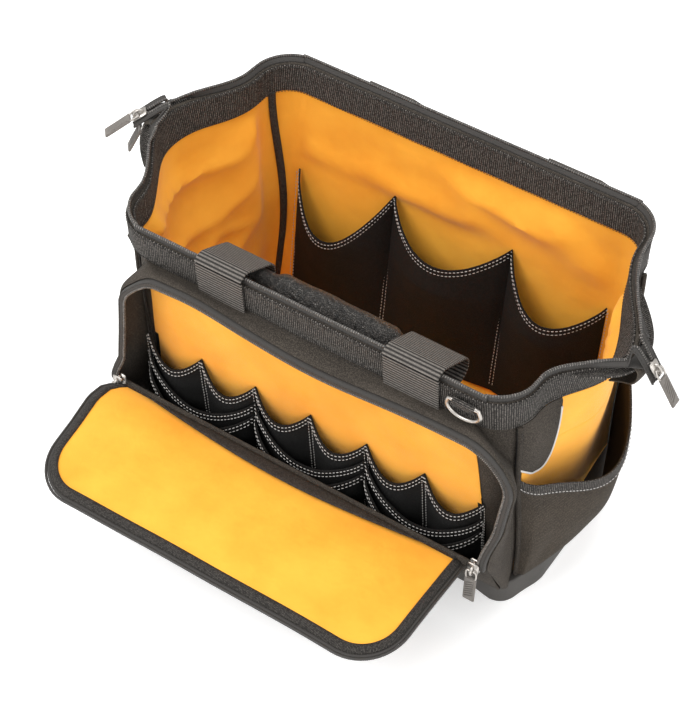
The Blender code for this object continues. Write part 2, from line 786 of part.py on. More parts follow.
def body_station(x, z, angle):
    """The place on the shell's outside that a station of the rim is joined to."""
    sx = 1 if x > 0 else -1
    t = level(z)
    rise = abs(math.sin(angle))
    a, r = half_length(t), corner_radius(t)
    start = math.acos(min((PIPING_RADIUS * 2 + SEAT_GAP) / r, 1))
    if abs(x) > POCKET_HALF_WIDTH - POCKET_CORNER_RADIUS:
        phi = start * (1 - rise)
        return corner_points(t, SEAT_GAP * 3, sx, -1, phi, phi, 1)[0]
    reach = x / (POCKET_HALF_WIDTH - POCKET_CORNER_RADIUS) * (a - r)
    return Vector((reach, front_y(z) - SEAT_GAP * 2, z))


def front_pocket():
    stations = arch_stations()
    inner, outer = [], []
    for x, z, angle in stations:
        body = body_station(x, z, angle)
        body.z = z
        rim = Vector((x, rim_y(z) + POCKET_TAPE_TURN * (z > POCKET_BOTTOM), z))
        normal = Vector((math.cos(angle), 0, math.sin(angle)))
        thick = normal * POCKET_FABRIC_THICKNESS
        inner.append([body, rim - thick])
        outer.append([body + thick, rim])
    wall("pocket_gusset", outer, inner, "shell_fabric")

    half, bead = ZIP_TAPE_THICKNESS / 2, COIL_SIZE / 2
    back = -POCKET_TAPE_TURN + SEAT_GAP
    reach = POCKET_COIL_REACH
    section = [
        (0, back),
        (0, half),
        (-reach, half),
        (-reach, bead),
        (-reach - COIL_SIZE, bead),
        (-reach - COIL_SIZE, -bead),
        (-reach, -bead),
        (-reach, -half),
        (-2 * half, -half),
        (-2 * half, back),
    ]
    tape = []
    for x, z, angle in stations[1:-1]:
        outward = Vector((math.cos(angle), 0, math.sin(angle)))
        tape.append((Vector((x, rim_y(z), z)), outward, Vector((0, -1, 0))))
    sweep("pocket_zip_tape", tape, section, "zip_tape")

    steps = END_STEPS
    outer, inner = [], []
    top = HINGE_HEIGHT - HINGE_GAP * 2
    for i in range(ROW_LEVELS + 1):
        share = i / ROW_LEVELS
        z = lerp(POCKET_BOTTOM, top, share)
        rows = ([], [])
        for j in range(steps + 1):
            u = lerp(-1, 1, j / steps)
            belly = POCKET_BELLY * (1 - u**4) * math.sin(math.pi / 2 * min(share * 1.3, 1))
            turn = POCKET_TAPE_TURN * (z - POCKET_BOTTOM) / (HINGE_HEIGHT - POCKET_BOTTOM)
            y = rim_y(z) + turn - SEAT_GAP * 3 - belly
            x = u * POCKET_HALF_WIDTH
            rows[0].append(Vector((x, y - POCKET_FABRIC_THICKNESS, z)))
            rows[1].append(Vector((x, y, z)))
        outer.append(rows[0])
        inner.append(rows[1])
    wall("pocket_lower_panel", outer, inner, "shell_fabric")

    low, high = level(POCKET_BOTTOM), level(POCKET_TOP - SEAT_GAP - POCKET_FABRIC_THICKNESS)
    grids = [[line_points(t, out, -1) for t in (low, high)] for out in (SEAT_GAP + LINING_THICKNESS, SEAT_GAP)]
    wall("pocket_lining", *grids, "lining_fabric")


def loop_row(name, seams, bottom, peaks, droops, bulge, power, side, direction, offset, foot, full, steps):
    """A strip of fabric sewn to a wall at its seams, bulging into loops with scalloped hems between them."""
    outer, inner = [], []
    for i in range(ROW_LEVELS + 1):
        rows = ([], [])
        for k in range(len(seams) - 1):
            for j in range(steps + (k == len(seams) - 2)):
                u = j / steps
                swell = math.sin(math.pi * u) ** power if 0 < u < 1 else 0
                x = lerp(seams[k], seams[k + 1], u)
                top = lerp(peaks[k], peaks[k + 1], u) - droops[k] * math.sin(math.pi * u)
                z = lerp(bottom, top, i / ROW_LEVELS)
                growth = lerp(foot, 1, min((z - bottom) / (full - bottom), 1))
                wall_y = half_depth(level(z, side), side)
                near = offset + bulge * swell * growth
                for row, out in zip(rows, (near + POCKET_FABRIC_THICKNESS, near)):
                    row.append(Vector((x, side * (wall_y + direction * out), z)))
        outer.append(rows[0])
        inner.append(rows[1])
    wall(name, outer, inner, "pocket_fabric")


def organiser():
    step = SEAT_GAP + POCKET_FABRIC_THICKNESS
    offset = SEAT_GAP * 2 + LINING_THICKNESS
    for row in ROWS:
        name, loops, peak, droop, bulge, power = row
        seams = [lerp(-ROW_HALF_WIDTH, ROW_HALF_WIDTH, i / loops) for i in range(loops + 1)]
        steps = 24 // loops
        loop_row(
            name, seams, ROW_BOTTOM, [peak] * (loops + 1), [droop] * loops, bulge, power, -1, 1, offset, ROW_FOOT_SHARE, ROW_FULL_HEIGHT, steps,
        )
        offset += step
    inside = SHELL_THICKNESS + LINING_THICKNESS + SEAT_GAP * 3
    back_seams = [share * BODY_LENGTH / 2 for share in INNER_POCKET_SEAM_SHARES]
    peaks = [share * INNER_POCKET_PEAK for share in INNER_POCKET_PEAK_SHARES]
    droops = [share * INNER_POCKET_DROOP for share in INNER_POCKET_DROOP_SHARES]
    loop_row(
        "inner_back_pockets", back_seams, INNER_POCKET_BOTTOM, peaks, droops, INNER_POCKET_BULGE,
        BACK_LOOP_POWER, 1, -1, inside, INNER_POCKET_FOOT_SHARE, INNER_POCKET_FULL_HEIGHT, 6,
    )


# The flap, built in its own plane: X across, Y out from the hinge, Z towards its lining
def flap_matrix():
    turn = Matrix.Rotation(-FLAP_REST_ANGLE, 4, "X") @ Matrix.Scale(-1, 4, (0, 1, 0)) @ Matrix.Scale(-1, 4, (1, 0, 0))
    return Matrix.Translation((0, rim_y(HINGE_HEIGHT), HINGE_HEIGHT)) @ turn


def flap_outline(start, steps=4):
    """The flap's free edge from the hinge at +X round to the hinge at -X."""
    half, length, radius = FLAP_HALF_WIDTH, FLAP_LENGTH, FLAP_CORNER_RADIUS
    points = [(half, start), (half, length * 0.4)]
    for i in range(steps + 1):
        angle = math.pi / 2 * i / steps
        points.append((half - radius + radius * math.cos(angle), length - radius + radius * math.sin(angle)))
    return points + [(-x, y) for x, y in reversed(points)]


def flap():
    place = flap_matrix()
    total = FLAP_PANEL_THICKNESS + SEAT_GAP + LINING_THICKNESS
    for name, thickness, centre, slot in (
        ("flap_panel", FLAP_PANEL_THICKNESS, -(SEAT_GAP + LINING_THICKNESS) / 2, "shell_fabric"),
        ("flap_lining", LINING_THICKNESS, (FLAP_PANEL_THICKNESS + SEAT_GAP) / 2, "lining_fabric"),
    ):
        obj = flat_outline(name, [flap_outline(HINGE_GAP)], thickness)
        obj.matrix_world = place @ Matrix.Translation((0, 0, centre))
        bpy.context.view_layer.update()
        add_object(name, evaluated_mesh(obj), slot)
    inner = total / 2 + SEAT_GAP
    skin = BINDING_THICKNESS
    outer = inner + skin
    lip = FLAP_BINDING_WIDTH
    tape, bead = ZIP_TAPE_THICKNESS / 2, COIL_SIZE / 2
    fold = SEAT_GAP + skin
    neck = fold + ZIP_TAPE_WIDTH / 2
    section = [
        (-lip, inner),
        (-lip, outer),
        (fold, outer),
        (fold, tape),
        (neck, tape),
        (neck, bead),
        (neck + COIL_SIZE, bead),
        (neck + COIL_SIZE, -bead),
        (neck, -bead),
        (neck, -tape),
        (fold, -tape),
        (fold, -outer),
        (-lip, -outer),
        (-lip, -inner),
        (SEAT_GAP, -inner),
        (SEAT_GAP, inner),
    ]
    sweep("flap_binding", flap_stations(place), section, "webbing")


def flap_stations(place):
    """Stations round the flap's free edge, with the across direction pointing out of the flap."""
    edge = flap_outline(HINGE_GAP)
    turn = place.to_3x3()
    stations = []
    for i, (x, y) in enumerate(edge):
        before = Vector(edge[i]) - Vector(edge[max(i - 1, 0)])
        after = Vector(edge[min(i + 1, len(edge) - 1)]) - Vector(edge[i])
        along = (before.normalized() + after.normalized()).normalized()
        outward = Vector((along.y, -along.x, 0))
        if outward.dot(Vector((x, y - FLAP_LENGTH / 2, 0))) < 0:
            outward = -outward
        stretch = 1 / max(along.dot((after if after.length else before).normalized()), 0.5)
        stations.append((place @ Vector((x, y, 0)), turn @ outward * stretch, turn @ Vector((0, 0, 1))))
    return stations


# Side pockets
def side_pockets():
    offset = SEAT_GAP * 3 + LINING_THICKNESS
    for side, sx in (("left", -1), ("right", 1)):
        low, high = level(SIDE_POCKET_BOTTOM), level(SIDE_LINING_TOP)
        seam = 1 - (2 * PIPING_RADIUS + 2 * SEAT_GAP) / (BODY_DEPTH / 2 - BASE_CORNER_RADIUS)
        grids = [
            [end_points(t, out, sx, low=-seam, high=seam) for t in (low, high)]
            for out in (offset - SEAT_GAP, offset - SEAT_GAP - LINING_THICKNESS)
        ]
        wall(f"{side}_side_lining", *grids, "lining_fabric")
        outer, inner = [], []
        for i in range(ROW_LEVELS + 1):
            rows = ([], [])
            for share in end_shares(-seam, seam):
                swell = math.cos(share / seam * math.pi / 2)
                top = SIDE_POCKET_PEAK - SIDE_POCKET_DROOP * swell
                z = lerp(SIDE_POCKET_BOTTOM, top, i / ROW_LEVELS)
                rise = (z - SIDE_POCKET_BOTTOM) / (SIDE_POCKET_PEAK - SIDE_POCKET_DROOP - SIDE_POCKET_BOTTOM)
                growth = lerp(SIDE_POCKET_FOOT_SHARE, 1, min(rise, 1) ** 0.8)
                t = level(z)
                y = share * (half_depth(t, share) - corner_radius(t))
                near = offset + SIDE_POCKET_BULGE[side] * swell * growth
                for row, out in zip(rows, (near + POCKET_FABRIC_THICKNESS, near)):
                    row.append(Vector((sx * end_x(t, share, sx, out), y, z)))
            outer.append(rows[0])
            inner.append(rows[1])
        wall(f"{side}_side_pocket", outer, inner, "shell_fabric")


# Handles
def arc(across, up, radius, start, end, steps):
    """Points (across, up) of an arc about that centre, with angles from across towards up."""
    points = []
    for i in range(steps + 1):
        angle = lerp(start, end, i / steps)
        points.append((across + radius * math.cos(angle), up + radius * math.sin(angle)))
    return points


def tangent_angle(dy, dz, from_radius, to_radius):
    """Angle of the shared normal where a strap passes over one round and then over the other."""
    distance = math.hypot(dy, dz)
    return math.atan2(dz, dy) + math.acos((from_radius - to_radius) / distance)


def front_axis():
    return Vector((0, -(half_depth(1) - SHELL_THICKNESS / 2), edge_height(-1)))


def back_axis():
    out = HEM_OUT + SEAT_GAP + STRAP_THICKNESS + BACK_AXIS_CLEARANCE
    return Vector((0, half_depth(1, 1) + out, edge_height(1)))


def grip(name, centre):
    """The padded grip: a turned shape along X, thinner towards its ends."""
    half = GRIP_LENGTH / 2
    clear = half - STRAP_WIDTH * 0.55
    profile = [(-half, 0), (-half, GRIP_END_RADIUS), (-clear, GRIP_END_RADIUS), (-clear * 0.8, GRIP_RADIUS)]
    profile += [(-x, r) for x, r in reversed(profile)]
    mesh = bpy.data.meshes.new(name)
    points = [(x, 0, r) for x, r in profile]
    mesh.from_pydata(points, [(i, i + 1) for i in range(len(points) - 1)], [])
    obj = bpy.data.objects.new(name, mesh)
    bpy.data.collections["tool_bag"].objects.link(obj)
    screw = obj.modifiers.new("turn", "SCREW")
    screw.axis = "X"
    screw.steps = ROUND_STEPS
    screw.render_steps = ROUND_STEPS
    screw.use_merge_vertices = True
    screw.merge_threshold = SEAT_GAP / 10
    obj.location = centre
    bpy.context.view_layer.update()
    add_object(name, evaluated_mesh(obj), "grip_leather")


def strap_x(sx):
    return HANDLE_SHIFT + sx * STRAP_SPACING_SHARE * BODY_LENGTH / 2


def handles():
    """Straps sewn to the body, the webs that turn with each handle, and the grips."""
    half = STRAP_THICKNESS / 2
    sleeve = GRIP_END_RADIUS + SEAT_GAP + half
    axis = front_axis()
    radius = ZIP_HEIGHT + SEAT_GAP + half
    grip_y, grip_z = GRIP_REACH, -GRIP_DROP
    lift = tangent_angle(grip_y, grip_z, radius, sleeve)
    front_web = arc(0, 0, radius, ARC_START, lift, 4)
    front_web += arc(grip_y, grip_z, sleeve, lift, math.radians(-100), 7)
    strap_y = -(half_depth(1) + HEM_OUT + SEAT_GAP + half)
    foot = HEM_LEVEL * edge_height(-1) + SEAT_GAP
    shift = half_depth(1) - half_depth(HEM_LEVEL)
    front_strap = [(strap_y + shift, foot), (strap_y, axis.z)]

    back = back_axis()
    reach, drop = BACK_GRIP_REACH, -BACK_GRIP_DROP
    rise = tangent_angle(reach, drop, 0, sleeve)
    back_web = [(half * math.cos(rise + math.pi / 2), half * math.sin(rise + math.pi / 2))]
    back_web += arc(reach, drop, sleeve, rise, math.radians(-100), 7)
    out = half_depth(1, 1) + HEM_OUT + SEAT_GAP + half
    under = SEAT_GAP + half
    hem_z = HEM_LEVEL * edge_height(1)
    back_strap = [
        (half_depth(level(POCKET_BOTTOM, 1), 1) + under, POCKET_BOTTOM),
        (half_depth(level(hem_z - STRAP_STEP_DROP, 1), 1) + under, hem_z - STRAP_STEP_DROP),
        (half_depth(level(hem_z - SEAT_GAP, 1), 1) + HEM_OUT + under, hem_z - SEAT_GAP),
        (out, back.z),
    ]
    for side, sx in (("left", -1), ("right", 1)):
        x = strap_x(sx)
        for name, path, place in (
            (f"front_handle_strap_{side}", front_strap, Vector((x, 0, 0))),
            (f"front_handle_web_{side}", front_web, Vector((x, axis.y, axis.z))),
            (f"back_handle_strap_{side}", back_strap, Vector((x, 0, 0))),
            (f"back_handle_web_{side}", back_web, Vector((x, back.y, back.z))),
        ):
            points = [place + Vector((0, y, z)) for y, z in path]
            ribbon(name, points, (1, 0, 0), STRAP_WIDTH, STRAP_THICKNESS, "webbing")
    grip("front_handle_grip", Vector((HANDLE_SHIFT, axis.y + grip_y, axis.z + grip_z)))
    grip("back_handle_grip", Vector((HANDLE_SHIFT, back.y + reach, back.z + drop)))


# D-rings
def ring_pivot(sx, sy):
    """Centre of the ring's straight bar, in its loop outside the hem."""
    z = edge_height(sy) - RING_HEIGHT_BELOW_EDGE
    t = z / edge_height(sy)
    out = half_depth(t, sy) + HEM_OUT + SEAT_GAP + STRAP_THICKNESS + SEAT_GAP + RING_WIRE_RADIUS
    place = strap_x(1) + STRAP_WIDTH / 2 + RING_STRAP_CLEARANCE + RING_WIDTH / 2
    return Vector((sx * place, sy * out, z))


def d_rings():
    half = STRAP_THICKNESS / 2
    for name, sx, sy in (("front_d_ring", 1, -1), ("back_d_ring", -1, 1)):
        pivot = ring_pivot(sx, sy)
        bar = RING_WIDTH / 2 - RING_WIRE_RADIUS
        bow = [Vector((-bar, 0, 0)), Vector((bar, 0, 0))]
        steps = ROUND_STEPS // 2 + 2
        deep = RING_HEIGHT - 2 * RING_WIRE_RADIUS
        for i in range(steps + 1):
            angle = math.pi * i / steps
            bow.append(Vector((bar * math.cos(angle), 0, -deep * (0.35 + 0.65 * math.sin(angle)))))
        mesh = tube(name, bow, RING_WIRE_RADIUS, 1, cyclic=True)
        add_object(name, mesh, "nickel", Matrix.Translation(pivot))
        inner = RING_WIRE_RADIUS + SEAT_GAP + half
        path = [(-inner, -RING_LOOP_LENGTH), (-inner, 0)]
        path += [(y, z) for y, z in arc(0, 0, inner, math.pi, 0, 6)][1:]
        path += [(inner, -RING_WIRE_RADIUS * 2), (-inner + STRAP_THICKNESS + SEAT_GAP * 3, -RING_LOOP_LENGTH * 0.5)]
        path += [(-inner + STRAP_THICKNESS + SEAT_GAP * 3, -RING_LOOP_LENGTH)]
        points = [pivot + Vector((0, -sy * -y, z)) for y, z in path]
        ribbon(name + "_loop", points, (1, 0, 0), RING_LOOP_WIDTH, STRAP_THICKNESS, "webbing")


def sliders_and_pulls():
    slider, pull = slider_mesh(), pull_mesh()
    for side in ("left", "right"):
        root, along, width, crown = tip_frame(side)
        centre = root + along * (SLIDER_LENGTH / 2 + SLIDER_PLATE)
        add_slider(f"mouth_slider_{side}", slider, centre, along, crown)
        add_pull(f"mouth_pull_{side}", pull, centre, along, crown)
        if side == "left":
            add_pull("mouth_pull_left_lower", pull, centre, along, -crown, LOWER_PULL_SWING)
    low, high = HINGE_HEIGHT, POCKET_TOP - POCKET_CORNER_RADIUS
    run = Vector((0, rim_y(high) - rim_y(low), high - low)).normalized()
    crown = Vector((0, -run.z, run.y))
    coil = POCKET_COIL_REACH + COIL_SIZE + SEAT_GAP + SLIDER_WEB / 2
    for side, sx in (("left", -1), ("right", 1)):
        start = Vector((sx * (POCKET_HALF_WIDTH - coil), rim_y(low), low))
        add_slider(f"pocket_slider_{side}", slider, start, -run, crown)
        add_pull(f"pocket_pull_{side}", pull, start, -run, crown)


def main():
    clear_scene()
    collection("tool_bag")
    tray_and_board()
    shell_panels()
    lining()
    mouth_hem()
    corner_seams()
    mouth_zip()
    end_tabs()
    front_pocket()
    organiser()
    flap()
    side_pockets()
    handles()
    d_rings()
    sliders_and_pulls()


main()
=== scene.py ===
"""Studio scene of the fabric tool bag: every CAD node dressed in cloth, webbing, rubber, leather and metal."""

import math

import bmesh
import bpy
import numpy as np
from mathutils import Matrix, Vector, noise


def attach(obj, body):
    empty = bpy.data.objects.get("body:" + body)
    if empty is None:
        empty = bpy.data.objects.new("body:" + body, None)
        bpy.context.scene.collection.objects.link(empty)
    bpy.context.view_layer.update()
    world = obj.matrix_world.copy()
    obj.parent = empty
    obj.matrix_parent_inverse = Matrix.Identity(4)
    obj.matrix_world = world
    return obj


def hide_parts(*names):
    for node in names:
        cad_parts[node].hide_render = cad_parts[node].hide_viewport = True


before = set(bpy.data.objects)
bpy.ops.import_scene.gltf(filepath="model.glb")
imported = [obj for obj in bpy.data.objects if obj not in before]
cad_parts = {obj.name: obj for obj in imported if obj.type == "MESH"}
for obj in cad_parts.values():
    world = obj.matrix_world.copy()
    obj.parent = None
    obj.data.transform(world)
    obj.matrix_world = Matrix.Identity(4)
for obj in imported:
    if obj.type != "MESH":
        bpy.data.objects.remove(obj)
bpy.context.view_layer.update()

# The bag's own sizes, in metres, as in the CAD
MOUTH_Z, BACK_RISE, END_BULGE = 0.290, 0.007, 0.034
END_DROP, TIP_FLARE = {-1: -0.010, 1: 0.012}, {-1: 0.001, 1: 0.014}
HEM = 0.033
SHELL, CLOTH, WEB = 0.003, 0.0016, 0.0016
HINGE_Z, POCKET_FOOT = 0.097, 0.031
GAP = 0.0003
LINING_SKIN, THIN = 0.001, 0.0008
SIDES, FACES = (("left", -1), ("right", 1)), (("front", -1), ("back", 1))


# ---- Shaders written as Python expressions ----
class Shade:
    """A shader socket. Arithmetic on it adds the Math nodes that work it out."""

    def __init__(self, look, socket):
        self.look, self.socket = look, socket

    def __add__(self, other):
        return self.look.math("ADD", self, other)

    def __sub__(self, other):
        return self.look.math("SUBTRACT", self, other)

    def __rsub__(self, other):
        return self.look.math("SUBTRACT", other, self)

    def __mul__(self, other):
        return self.look.math("MULTIPLY", self, other)

    def __truediv__(self, other):
        return self.look.math("DIVIDE", self, other)

    __radd__, __rmul__ = __add__, __mul__


class Look:
    """A material in the making."""

    def __init__(self, name, roughness=0.8, metallic=0.0, **fixed):
        self.material = bpy.data.materials.new(name)
        self.material.use_nodes = True
        self.tree = self.material.node_tree
        self.surface = self.tree.nodes["Principled BSDF"]
        self.set({"Roughness": roughness, "Metallic": metallic})
        self.set({key.replace("_", " "): value for key, value in fixed.items()})

    def set(self, inputs):
        self.fill(self.surface, inputs)

    def fill(self, node, inputs):
        for key, value in inputs.items():
            if isinstance(value, Shade):
                self.tree.links.new(value.socket, node.inputs[key])
            else:
                node.inputs[key].default_value = value

    def node(self, kind, settings=None, inputs=None, output=0):
        node = self.tree.nodes.new("ShaderNode" + kind)
        for key, value in (settings or {}).items():
            if key == "stops":
                ramp = node.color_ramp.elements
                while len(ramp) < len(value):
                    ramp.new(1)
                for stop, (place, colour) in zip(ramp, value):
                    stop.position, stop.color = place, colour
            else:
                setattr(node, key, value)
        self.fill(node, inputs or {})
        return Shade(self, node.outputs[output])

    def math(self, operation, first, second=0.0):
        return self.node("Math", {"operation": operation}, {0: first, 1: second})

    def wave(self, along, pitch):
        """From 0 to 1 and back once in each pitch."""
        return self.math("SINE", along * (2 * math.pi / pitch)) * 0.5 + 0.5

    def clamp(self, value, low, high):
        """Rises from 0 to 1 as the value goes from low to high."""
        return self.node("MapRange", {}, {"Value": value, "From Min": low, "From Max": high})

    def mix(self, share, first, second):
        return self.node("Mix", {"data_type": "RGBA"}, {"Factor": share, 6: first, 7: second}, output=2)

    def on_cloth(self):
        """Millimetres along and across the cloth."""
        place = self.node("UVMap", {"uv_map": "UVMap"})
        split = self.tree.nodes.new("ShaderNodeSeparateXYZ")
        self.tree.links.new(place.socket, split.inputs[0])
        return [Shade(self, split.outputs[k]) * 1000 for k in (0, 1)]

    def cloud(self, size, detail=2, rough=0.5):
        """Noise with features of about this many metres, in the bag's own space."""
        place = self.node("TexCoord", output=3)
        fields = {"Vector": place, "Scale": 1 / size, "Detail": detail, "Roughness": rough}
        return self.node("TexNoise", {}, fields)

    def colour(self, share, first, second):
        self.set({"Base Color": self.mix(share, first, second)})

    def bump(self, height, depth):
        self.set({"Normal": self.node("Bump", {}, {"Height": height, "Distance": depth})})


def grey(value, warm=0.10):
    return (value * (1 + warm), value, value * (1 - warm), 1)


def woven(name, dark, light, pitch, roughness, depth, fleck=0.0009, warm=0.10, twill=0.0):
    """Plain weave whose threads catch a little light."""
    look = Look(name, roughness, Specular_IOR_Level=0.2)
    u, v = look.on_cloth()
    warp, weft = look.wave(u, pitch), look.wave(v, pitch)
    knot = warp * weft + (1 - warp) * (1 - weft)
    flecks = look.clamp(look.cloud(fleck, 1, 0.7), 0.44, 0.64)
    blotches = look.clamp(look.cloud(0.05, 3), 0.25, 0.75)
    knot = knot * (1 - twill) + look.wave(u + v, pitch * 1.4) * twill
    share = flecks * (knot * 0.5 + 0.1) + knot * 0.2 + blotches * 0.14
    look.colour(share, grey(dark, warm), grey(light, warm))
    look.bump(knot + flecks, depth)
    return look.material


def ribbed(name, dark, light, pitch, depth=0.0006, thread=1.3, roughness=0.8, broken=0.7):
    """Webbing with ribs across its length and short light threads on them."""
    look = Look(name, roughness, Specular_IOR_Level=0.25)
    u, v = look.on_cloth()
    rib = look.wave(u, pitch)
    stagger = look.math("FLOOR", u / pitch) * (thread * 0.5)
    dash = look.clamp(look.wave(v + stagger, thread), 0.25, 0.75)
    flecks = look.clamp(look.cloud(0.0016, 1, 0.7), 0.38, 0.62)
    share = rib * (dash * broken + 0.85 - broken) * (flecks * (broken + 0.1) + 0.9 - broken)
    look.colour(share, grey(dark), grey(light))
    look.bump(rib + dash * 0.4, depth)
    return look.material


def mottled(name, roughness, cloud, dark, light, warm=0.10, span=None, grain=None):
    """A grey that drifts between two tones. The grain is its noise and the depth of its bumps."""
    look = Look(name, roughness)
    share = look.cloud(*cloud)
    look.colour(look.clamp(share, *span) if span else share, grey(dark, warm), grey(light, warm))
    if grain:
        look.bump(look.cloud(*grain[0]), grain[1])
    return look.material


def zip_tape():
    look = Look("zip_tape", 0.7)
    u, v = look.on_cloth()
    twill = look.wave(u + look.math("PINGPONG", v, 1.4), 0.9)
    look.colour(twill, grey(0.006), grey(0.055))
    look.bump(twill, 0.0001)
    return look.material


def amber():
    look = Look("amber_lining", 0.75, Sheen_Weight=0.15, Sheen_Roughness=0.4)
    u, v = look.on_cloth()
    knot = look.wave(u, 0.7) * look.wave(v, 0.7)
    # The noise mixes in a darker orange as painted shade of the lining's folds.
    blotches = look.clamp(look.cloud(0.06, 4, 0.55), 0.3, 0.72)
    shade = look.mix(blotches, (0.84, 0.34, 0.016, 1), (0.95, 0.45, 0.036, 1))
    look.colour(knot * 0.12, shade, (0.70, 0.27, 0.012, 1))
    look.bump(knot * 0.12 + look.cloud(0.02, 3, 0.5), 0.0012)
    return look.material


def nickel():
    look = Look("nickel", 0.3, 1.0)
    look.colour(look.cloud(0.006, 3), (0.30, 0.28, 0.26, 1), (0.62, 0.59, 0.55, 1))
    look.set({"Roughness": look.cloud(0.003, 3) * 0.3 + 0.2})
    return look.material


def leather():
    look = Look("grip_leather", 0.4, Specular_IOR_Level=0.4)
    place = look.node("TexCoord", output=3)
    cells = look.node("TexVoronoi", {"feature": "DISTANCE_TO_EDGE"}, {"Vector": place, "Scale": 560})
    # The cell edges keep the colour dark: painted shade in the grain's creases. The light specks from the second
    # noise are painted highlights, also a little shinier and raised.
    crease = look.clamp(cells, 0.0, 0.15)
    glint_specks = look.clamp(look.cloud(0.003, 4, 0.75), 0.42, 0.66)
    look.colour(glint_specks * crease, grey(0.010), grey(0.10))
    look.set({"Roughness": 0.34 - glint_specks * 0.12})
    look.bump(crease * 0.8 + glint_specks * 0.6, 0.0009)
    return look.material


LOOKS = {
    "shell": woven("shell_cloth", 0.009, 0.130, 0.9, 0.85, 0.00022, warm=0.19),
    "side": woven("side_pocket_cloth", 0.009, 0.112, 1.5, 0.85, 0.0003, warm=0.25, twill=0.75),
    "pocket": woven("pocket_cloth", 0.003, 0.024, 0.7, 0.8, 0.00008, 0.001, warm=0.03),
    "web": ribbed("ribbed_webbing", 0.008, 0.29, 2.1),
    "strap": ribbed("strap_webbing", 0.012, 0.26, 3.2, 0.0009, broken=0.2),
    "binding": ribbed("binding_tape", 0.010, 0.16, 1.2, 0.0003, 1.0),
    "hem": ribbed("hem_tape", 0.003, 0.030, 1.5, 0.0003),
    "tape": zip_tape(),
    "lining": amber(),
    "rubber": mottled("tray_rubber", 0.6, (0.03, 3), 0.030, 0.055, grain=((0.0012, 2, 0.6), 0.0002)),
    "pull": mottled("pull_rubber", 0.5, (0.004, 3), 0.10, 0.17, grain=((0.0008, 2), 0.0001)),
    # The light grey teeth of the mouth and pocket zips are painted glints on coils that are dark.
    "coil": mottled("zip_coil_painted_glints", 0.3, (0.002, 2), 0.06, 0.46, span=(0.35, 0.65)),
    "dull": mottled("pocket_coil", 0.4, (0.002, 2), 0.06, 0.36, span=(0.35, 0.65)),
    "nickel": nickel(),
    "leather": leather(),
    "thread": mottled("light_thread", 0.7, (0.002, 2), 0.34, 0.62, 0.04),
    "board": mottled("board", 0.5, (0.02, 3), 0.02, 0.03),
    "edge": mottled("grey_piping", 0.6, (0.003, 2), 0.45, 0.62, 0.03),
}


# ---- Making and handing over pieces ----
def xyz(x, y, z):
    """Points from three coordinates, each a number or an array of them."""
    return np.stack(np.broadcast_arrays(x, y, z), axis=-1)


def in_scene(name, data):
    obj = bpy.data.objects.new(name, data)
    bpy.context.scene.collection.objects.link(obj)
    return obj


def hand_over(name, mesh, body, nodes):
    """The finished piece rides with its body and stands for its CAD nodes."""
    obj = in_scene(name, mesh)
    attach(obj, body)
    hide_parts(*nodes)
    return obj


def applied(obj):
    """A plain mesh of an object with its modifiers. The object goes."""
    bpy.context.view_layer.update()
    graph = bpy.context.evaluated_depsgraph_get()
    mesh = bpy.data.meshes.new_from_object(obj.evaluated_get(graph), depsgraph=graph)
    old = obj.data
    bpy.data.objects.remove(obj, do_unlink=True)
    if isinstance(old, bpy.types.Mesh) and old.users == 0:
        bpy.data.meshes.remove(old)
    return mesh


def grid_mesh(name, grid, closed=False, turn_uv=False):
    """A mesh of rows and columns of points, with a UV map in metres along (u) and across (v) the cloth."""
    grid = np.asarray(grid, float)
    rows, cols = grid.shape[:2]
    ring = np.concatenate([grid, grid[:, :1]], axis=1) if closed else grid
    u = np.zeros(ring.shape[:2])
    u[:, 1:] = np.cumsum(np.linalg.norm(np.diff(ring, axis=1), axis=2), axis=1)
    v = np.zeros(ring.shape[:2])
    v[1:] = np.cumsum(np.linalg.norm(np.diff(ring, axis=0), axis=2), axis=0)
    u = u.mean(axis=0)[None] + 0 * u
    i, j = np.meshgrid(np.arange(rows - 1), np.arange(ring.shape[1] - 1), indexing="ij")
    i, j = i.ravel(), j.ravel()
    corners = ((i, j), (i, j + 1), (i + 1, j + 1), (i + 1, j))
    faces = np.stack([a * cols + b % cols for a, b in corners], axis=1)
    mesh = bpy.data.meshes.new(name)
    mesh.from_pydata(grid.reshape(-1, 3).tolist(), [], faces.tolist())
    pairs = np.stack([np.stack([u[a, b], v[a, b]], axis=1) for a, b in corners], axis=1)
    if turn_uv:
        pairs = pairs[..., ::-1]
    layer = mesh.uv_layers.new(name="UVMap")
    layer.data.foreach_set("uv", pairs.astype(np.float32).ravel())
    return mesh


def cloth(name, grid, thick, look, order=1, closed=False, turn_uv=False, offset=-1.0, levels=0, round_edge=True):
    """A closed sheet: the grid is its outer face, and the wall grows behind it. An order of -1 turns it over."""
    mesh = grid_mesh(name, [row[::order] for row in grid], closed, turn_uv)
    mesh.materials.append(LOOKS[look])
    obj = in_scene(name, mesh)
    solid = obj.modifiers.new("wall", "SOLIDIFY")
    solid.thickness, solid.offset = thick, offset
    if round_edge:
        bevel = obj.modifiers.new("edge", "BEVEL")
        bevel.width, bevel.segments, bevel.limit_method = thick * 0.3, 2, "ANGLE"
        bevel.angle_limit = math.radians(50)
    if levels:
        sub = obj.modifiers.new("soft", "SUBSURF")
        sub.levels = sub.render_levels = levels
    done = applied(obj)
    done.shade_smooth()
    return done


def joined(name, *meshes):
    """Several meshes as one, keeping their materials and UV maps."""
    made = [in_scene(name, mesh) for mesh in meshes]
    bpy.ops.object.select_all(action="DESELECT")
    for obj in made:
        obj.select_set(True)
    bpy.context.view_layer.objects.active = made[0]
    bpy.ops.object.join()
    mesh = made[0].data
    bpy.data.objects.remove(made[0], do_unlink=True)
    return mesh


def settled(bm, mesh, look=None):
    """The mesh with this new content, its faces turned outwards."""
    bmesh.ops.recalc_face_normals(bm, faces=bm.faces)
    bm.to_mesh(mesh)
    bm.free()
    if look:
        mesh.materials.append(LOOKS[look])
    mesh.shade_smooth()
    return mesh


